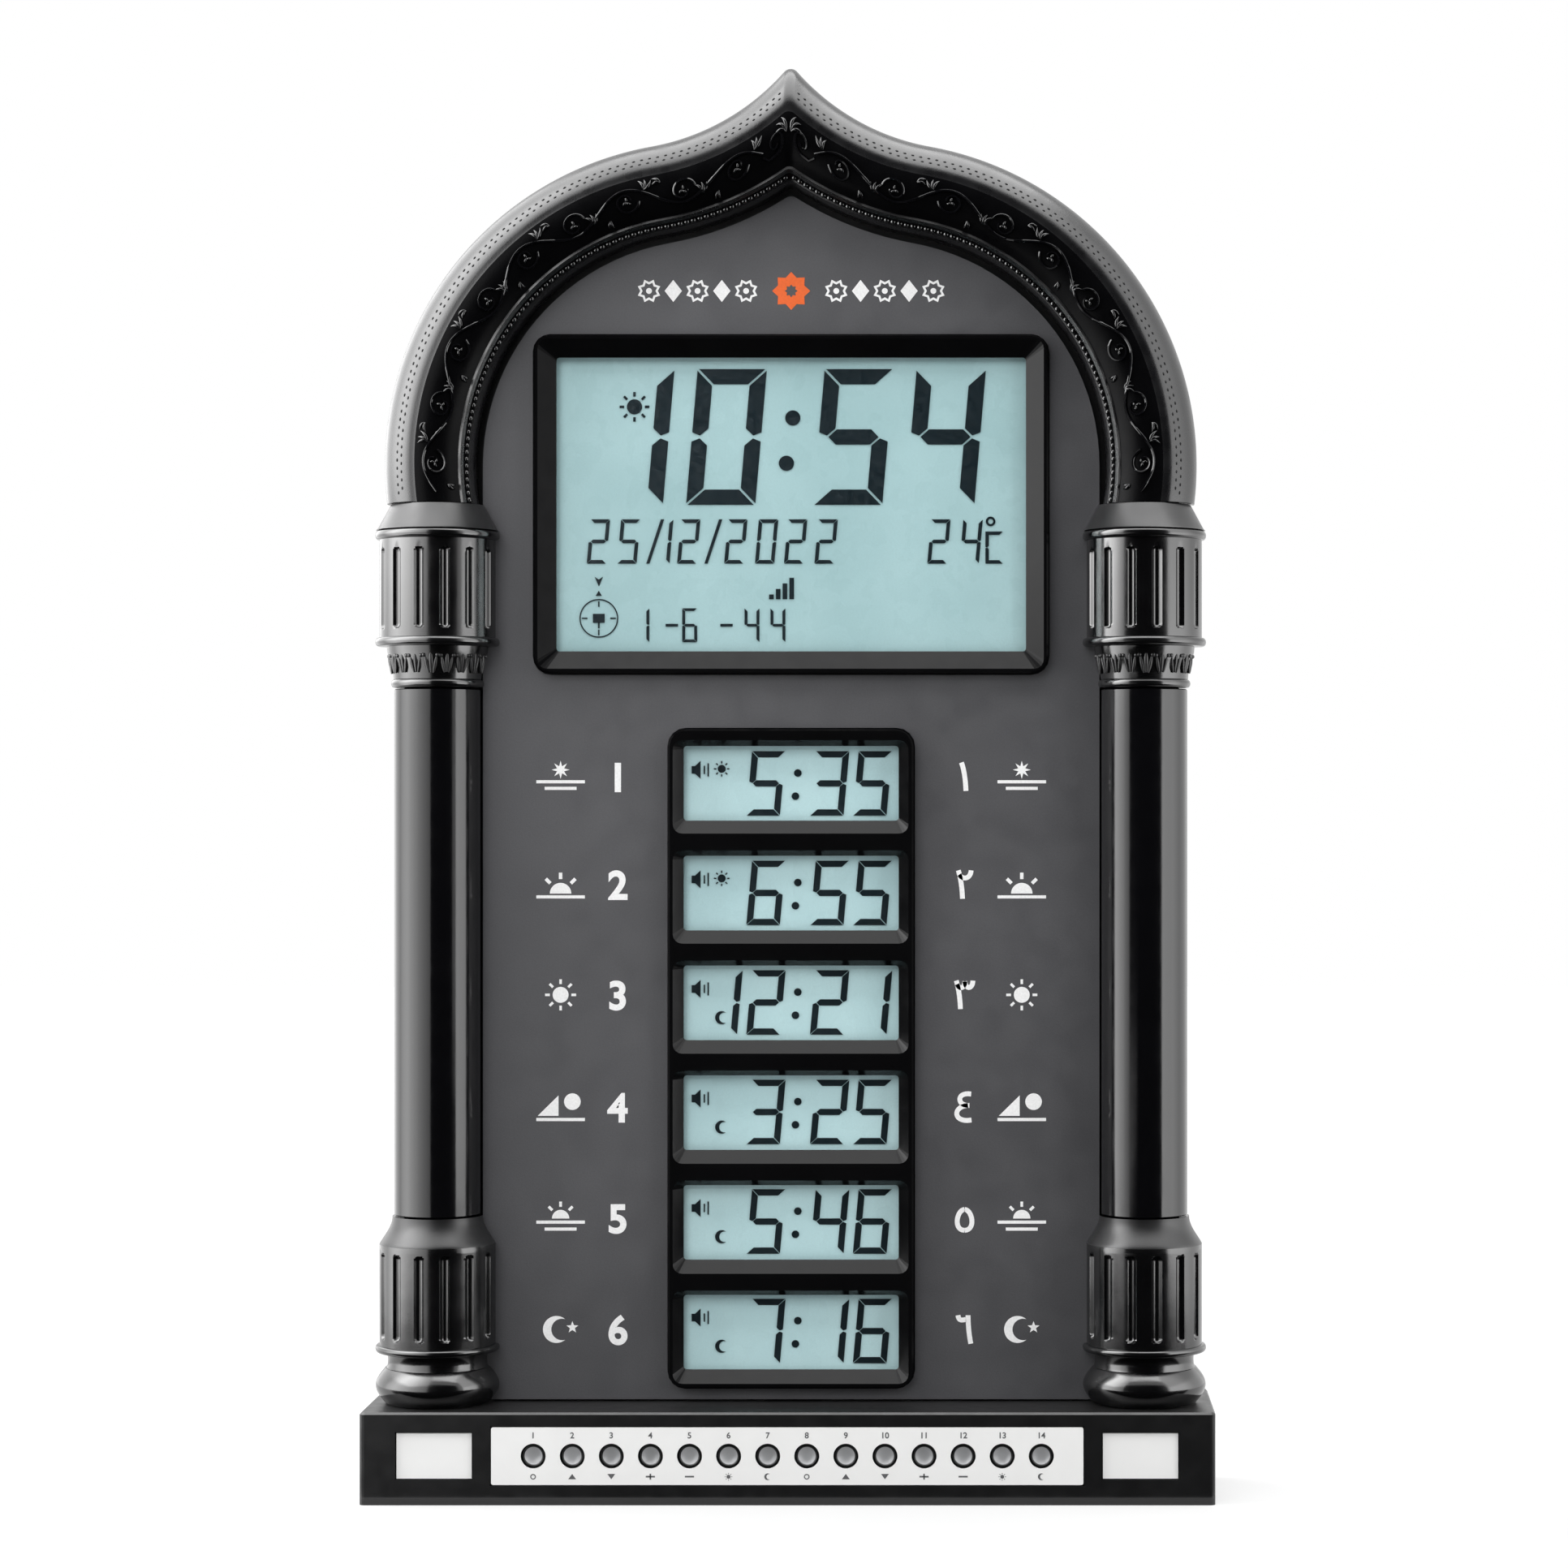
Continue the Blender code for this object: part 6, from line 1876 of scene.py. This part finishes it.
@dataclass(frozen=True)
class PlinthSizes:
    """Places and sizes on the plinth's front, in millimetres."""

    keys: int = 14
    pitch: float = 11.0616
    height: float = 13.9
    hole: float = 3.55
    sides: int = 48
    strip_width: float = 167.6
    strip_height: float = 16.3
    strip_corner: float = 0.6
    strip_front: float = -22.97
    strip_back: float = -22.4
    print_front: float = -23.0
    figure_foot: float = 19.0
    figure_height: float = 1.7
    sign_foot: float = 7.4
    cap: tuple[Point2, ...] = (
        (0.0, -21.05), (0.7, -21.08), (1.3, -21.2), (1.8, -21.42), (2.2, -21.72), (2.5, -22.05),
        (2.68, -22.24), (2.8, -22.3), (2.95, -22.27), (3.07, -22.18), (3.13, -22.06),
        (3.15, -21.9), (3.15, -20.5),
        (4.5, -20.5), (4.5, -19.5), (1.8, -19.5), (1.8, -15.3), (0.0, -15.3),
    )
    # Beyond this radius the cap is black: painted shadow for the gap between the key and its hole.
    painted_shadow_reach: float = 2.45


class Plinth:
    """What the plinth's front carries."""

    def __init__(self, sizes: PlinthSizes) -> None:
        """Keep the sizes and work out where each key stands."""
        self.sizes = sizes
        self.places = [
            sizes.pitch * (index - (sizes.keys - 1) / 2) for index in range(sizes.keys)
        ]

    def _key(self, x: float) -> Mesh:
        """Turn one key with its dished cap, flange and stem, and a black ring of painted shadow
        round the cap's edge.

        Args:
            x: Its middle across.

        Returns:
            The key's mesh.
        """
        shape = Shape()
        shape.turned(
            [(radius * MM, depth * MM) for radius, depth in self.sizes.cap], self.sizes.sides,
            lambda across, up, along: (x * MM + across, along, self.sizes.height * MM + up),
        )
        # Faces beyond the reach take the black finish as painted shadow.
        for face in shape.mesh.faces:
            centre = face.calc_center_median()
            away = math.hypot(centre.x / MM - x, centre.z / MM - self.sizes.height)
            face.material_index = int(away > self.sizes.painted_shadow_reach)
        return shape.finish_mesh("key")

    def _legends(self) -> Marks:
        """Number the keys above, and set a small sign below each.

        Returns:
            The print.
        """
        sizes = self.sizes
        marks = Marks(sizes.print_front, sizes.strip_front)
        for index, x in enumerate(self.places):
            marks.figures(str(index + 1), x, sizes.figure_foot, sizes.figure_height, 0.05)
            foot, sign = sizes.sign_foot, index % 7
            middle = foot + 0.7
            if sign == 0:
                marks.ring(marks.circle(x, middle, 0.8, 24), marks.circle(x, middle, 0.5, 24))
            elif sign == 1:
                marks.patch([(x - 1.1, foot), (x + 1.1, foot), (x, foot + 1.5)])
            elif sign == 2:
                marks.patch([(x, foot), (x + 1.1, foot + 1.5), (x - 1.1, foot + 1.5)])
            elif sign in (3, 4):
                marks.bar(x - 1.3, x + 1.3, foot + 0.5, foot + 0.95)
                if sign == 3:
                    marks.bar(x - 0.22, x + 0.22, foot - 0.1, foot + 1.55)
            elif sign == 5:
                marks.sun(x, middle, 0.55)
            else:
                marks.crescent(x, middle, 0.95)
        return marks

    def build(self) -> None:
        """Make the strip, its print and the keys."""
        sizes = self.sizes
        edge = rounded_box(
            sizes.strip_width, sizes.strip_height, sizes.strip_corner, 0.0, sizes.height
        )
        holes = [Marks.circle(x, sizes.height, sizes.hole, sizes.sides) for x in self.places]
        strip = sheet_mesh("strip", edge, holes, sizes.strip_front, sizes.strip_back)
        place_piece(
            "key_strip_sheet", strip, Finish.WHITE_SHEET, stands_for=("key_strip",)
        )
        place_piece(
            "key_strip_print", self._legends().finish_mesh("legends"), Finish.GREY_INK
        )
        for index, x in enumerate(self.places, 1):
            # Each cap's outer ring takes satin black as painted shadow in the gap round the key.
            place_piece(
                f"key_cap_{index:02d}", self._key(x), Finish.GREY_KEY_ABS,
                body=f"button_{index:02d}_body", stands_for=(f"button_{index:02d}",),
                sharp_degrees=40, accent=Finish.SATIN_BLACK_ABS,
            )


# The CAD nodes that stay, each with the finish of the real part


class Shell:
    """The nodes of the frame that are shown as they are."""

    FINISHES: dict[Finish, tuple[str, ...]] = {
        Finish.SHELL_BLACK_ABS: ("front_housing", "rear_cover", "base_cover", "battery_door"),
        Finish.SATIN_BLACK_ABS: ("base_housing",),
        Finish.GREY_SHEET: ("face_panel",),
        Finish.BEZEL_BLACK_ABS: ("main_bezel", "row_bezel"),
        Finish.ACRYLIC: ("main_window", "row_window"),
        Finish.LARGE_CELL_GLASS: ("main_lcd",),
        Finish.CELL_GLASS: tuple(f"row_lcd_{row}" for row in range(1, 7)),
        Finish.LIGHT_GUIDE: ("main_backlight", "row_backlight"),
        Finish.WHITE_SHEET: ("inlay_left", "inlay_right"),
        Finish.BOARD: ("main_pcb", "row_pcb", "key_pcb"),
        Finish.SILICONE: ("key_mat",),
        Finish.RIBBON: ("key_ribbon",),
        Finish.ZINC: ("speaker_frame", *(f"case_screw_{screw}" for screw in range(1, 5))),
        Finish.CONE_PAPER: ("speaker_cone",),
        Finish.CELL: ("battery_1", "battery_2"),
        Finish.NICKEL: ("contact_bridge", "contact_plus", "contact_minus"),
        Finish.INLET: ("dc_jack",),
    }

    def dress(self) -> None:
        """Give each node its finish."""
        for kind, names in self.FINISHES.items():
            for name in names:
                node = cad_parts[name]
                node.data.materials.clear()
                node.data.materials.append(finish(kind))
                LOG.info("%s: finished in %s", name, kind.value.name)


# The studio


def seen_directly(tree: Tree) -> Socket:
    """Give 1 where a thing is looked at, mirrored or seen through, and 0 where it only lights.

    Args:
        tree: The material's tree.

    Returns:
        The output that carries the share.
    """
    ray = add_node(tree, "ShaderNodeLightPath").outputs
    clear = calculate(tree, "MAXIMUM", ray["Is Camera Ray"], ray["Is Transmission Ray"])
    return calculate(tree, "MAXIMUM", clear, ray["Is Glossy Ray"])


@dataclass(frozen=True)
class FloorPaint(RealMaterial):
    """Pale painted floor: nearly white to the camera, but it keeps the soft shadow.

    Slow clouds of tone and sheen make it a surface, and it brightens away from the
    clock until it meets the white surround without an edge.
    """

    def inputs(self, tree: Tree) -> Inputs:
        """Paint, and the glow that is only there where it is looked at.

        Args:
            tree: The material's tree.

        Returns:
            The shader's inputs.
        """
        away = add_node(tree, "ShaderNodeVectorMath", {0: place_in(tree)}, operation="LENGTH")
        far = stretch(
            tree, away.outputs["Value"], 0.0, 1.0, 0.14, 0.6, interpolation_type="SMOOTHSTEP"
        )
        seen = seen_directly(tree)
        tone = noise(tree, 400.0, 2.0, linear("868686"), linear("8a8a8a"))
        return {
            "Base Color": mix(tree, calculate(tree, "MULTIPLY", seen, far), tone, BLACK),
            "Roughness": noise(tree, 60.0, 3.0, 0.6, 0.7),
            "Specular IOR Level": 0.1,
            "Emission Color": WHITE,
            "Emission Strength": calculate(tree, "MULTIPLY", seen, stretch(tree, far, 0.6, 1.0)),
        }


@dataclass(frozen=True)
class BlackCard(RealMaterial):
    """Matt black card: it gives the eye nothing but a dark mirror image."""

    def inputs(self, tree: Tree) -> Inputs:
        """Dull black, hardly clouded."""
        tone = noise(tree, 30.0, 2.0, linear("060606"), linear("0a0a0a"))
        return {"Base Color": tone, "Roughness": 0.95, "Specular IOR Level": 0.0}


@dataclass(frozen=True)
class GlowCard(RealMaterial):
    """Lit white card close by, which draws the soft edges on the columns.

    Its three upright edges are given as (X, Y) in metres, from the front one to the
    back one. Its radiance runs from low at the front edge to high 0.65 m along, and
    is multiplied by a share behind the clock and by another beside the arch.
    """

    bend: tuple[Point2, ...]
    low: float
    high: float
    behind: float
    above: float

    def inputs(self, tree: Tree) -> Inputs:
        """Light that changes smoothly along the card and never ends in a hard edge.

        Args:
            tree: The material's tree.

        Returns:
            The shader's inputs.
        """
        side = math.copysign(1.0, self.bend[0][0])
        apart = add_node(tree, "ShaderNodeSeparateXYZ", {"Vector": place_in(tree)}).outputs
        along = calculate(tree, "MULTIPLY_ADD", apart["X"], side, apart["Y"])
        first = side * self.bend[0][0] + self.bend[0][1]
        level = stretch(tree, along, self.low, self.high, first, first + 0.65)
        for value, share, start, stop in (
            (apart["Y"], self.behind, -0.08, 0.1), (apart["Z"], self.above, 0.24, 0.32),
        ):
            fade = stretch(tree, value, 1.0, share, start, stop)
            level = calculate(tree, "MULTIPLY", level, fade)
        return {"Base Color": BLACK, "Emission Color": WHITE, "Emission Strength": level}


@dataclass(frozen=True)
class Softbox:
    """A plain area lamp, sized in metres.

    It stands in a direction given by the azimuth from the camera's side and the
    elevation in degrees, and faces the other way.
    """

    name: str
    place: Point3
    direction: Point2
    width: float
    height: float
    radiance: float
    mirrored: bool = True

    def light(self) -> None:
        """Hang the lamp."""
        data = bpy.data.lights.new(self.name, "AREA")
        data.shape, data.size, data.size_y = "RECTANGLE", self.width, self.height
        data.energy = self.radiance * math.pi * self.width * self.height
        lamp = add_object(self.name, data)
        lamp.location = self.place
        azimuth, elevation = (math.radians(angle) for angle in self.direction)
        lamp.rotation_euler = (math.pi / 2 - elevation, 0.0, azimuth)
        lamp.visible_camera, lamp.visible_glossy = False, self.mirrored


class Studio:
    """Camera, pale floor, white surround, softboxes and cards that only the gloss shows."""

    SOFTBOXES: tuple[Softbox, ...] = (
        Softbox("left_softbox", (-1.1, 0.25, 0.55), (-90.0, 0.0), 1.4, 1.1, 7.0),
        Softbox("front_fill", (-0.45, -1.3, 1.0), (-19.0, 35.0), 0.9, 0.7, 5.0, mirrored=False),
        Softbox("right_front_softbox", (1.17, -0.55, 0.55), (65.0, 0.0), 0.5, 1.1, 4.2),
        Softbox("right_softbox", (1.13, 0.25, 0.55), (102.0, 0.0), 1.2, 1.1, 2.0),
        Softbox("top_softbox", (-0.1, -0.05, 1.2), (0.0, 90.0), 1.6, 1.1, 4.4),
    )
    GLOW_CARDS: tuple[GlowCard, ...] = (
        GlowCard(
            "left_card", ((-0.16, -0.3), (-0.45, -0.3), (-0.45, 0.7)), 1.2, 6.5, 0.3, 1.9
        ),
        GlowCard("right_card", ((0.5, -0.4), (0.5, 0.1), (0.5, 0.7)), 4.5, 2.4, 0.6, 0.7),
    )
    GLOW_CARD_TOP = 1.1
    FLOOR_REACH = 3.0

    @staticmethod
    def _surround() -> None:
        """White where it is seen, mirrored or seen through, and dim where it only lights."""
        world = bpy.data.worlds.new("studio")
        world.use_nodes = True
        tree = world.node_tree
        tree.nodes.clear()
        sockets = {"Color": WHITE, "Strength": stretch(tree, seen_directly(tree), 0.12, 1.0)}
        sky = add_node(tree, "ShaderNodeBackground", sockets)
        add_node(tree, "ShaderNodeOutputWorld", {"Surface": sky.outputs["Background"]})
        bpy.context.scene.world = world

    @staticmethod
    def _flat(
        name: str, material: RealMaterial, panels: Sequence[Sequence[Point3]]
    ) -> bpy.types.Object:
        """Put up flat panels.

        Args:
            name: Their name.
            material: Their material.
            panels: Corners of each of them.

        Returns:
            The object that holds them all.
        """
        shape = Shape()
        for corners in panels:
            shape.panel(corners)
        mesh = shape.release(name)
        mesh.materials.append(material.make())
        return add_object(name, mesh)

    def _floor(self) -> None:
        """Lay the floor."""
        signs = ((-1, -1), (1, -1), (1, 1), (-1, 1))
        corners = [(x * self.FLOOR_REACH, y * self.FLOOR_REACH, 0.0) for x, y in signs]
        floor = self._flat("floor", FloorPaint("pale painted floor"), [corners])

    def _card(
        self, name: str, material: RealMaterial, panels: Sequence[Sequence[Point3]]
    ) -> None:
        """Set up a card that only the gloss of the clock shows.

        Args:
            name: Its name.
            material: Its material.
            panels: Corners of each of its flat panels.
        """
        card = self._flat(name, material, panels)
        card.visible_camera = card.visible_diffuse = card.visible_shadow = False

    def _cards(self) -> None:
        """Set up the black card behind the camera and before the clock, and the lit ones."""
        left, right, inner, far, near, top, low = -1.3, 1.5, -0.4, -1.5, -0.024, 1.6, 0.002
        self._card("dark_card", BlackCard("matt black card"), (
            ((left, far, low), (right, far, low), (right, far, top), (left, far, top)),
            ((inner, near, low), (right, near, low), (right, far, low), (inner, far, low)),
        ))
        top = self.GLOW_CARD_TOP
        for lit in self.GLOW_CARDS:
            self._card(lit.name, lit, [
                ((*start, 0.0), (*stop, 0.0), (*stop, top), (*start, top))
                for start, stop in zip(lit.bend, lit.bend[1:])
            ])

    @staticmethod
    def _camera() -> None:
        """Look straight at the face from a little right of its middle, as the photograph does."""
        data = bpy.data.cameras.new("camera")
        data.lens, data.sensor_width, data.clip_start = 86.83, 36.0, 0.01
        data.shift_x, data.shift_y = -0.1366, 0.0124
        camera = add_object("camera", data)
        camera.location = (0.0597, -1.093, 0.1986)
        camera.rotation_euler = (math.pi / 2, 0.0, 0.0)
        bpy.context.scene.camera = camera

    def build(self) -> None:
        """Set up the studio."""
        bpy.context.scene.view_settings.view_transform = "Standard"
        self._surround()
        self._floor()
        self._cards()
        self._camera()
        for box in self.SOFTBOXES:
            box.light()


def main() -> None:
    """Dress the clock and light it."""
    logging.basicConfig(level=logging.INFO, format="%(name)s: %(message)s")
    Studio().build()
    Shell().dress()
    Arch(ArchSizes()).build()
    Columns(ColumnSizes()).build()
    Displays().build()
    FacePrint().build()
    Plinth(PlinthSizes()).build()
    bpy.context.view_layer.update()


if __name__ == "__main__":
    main()
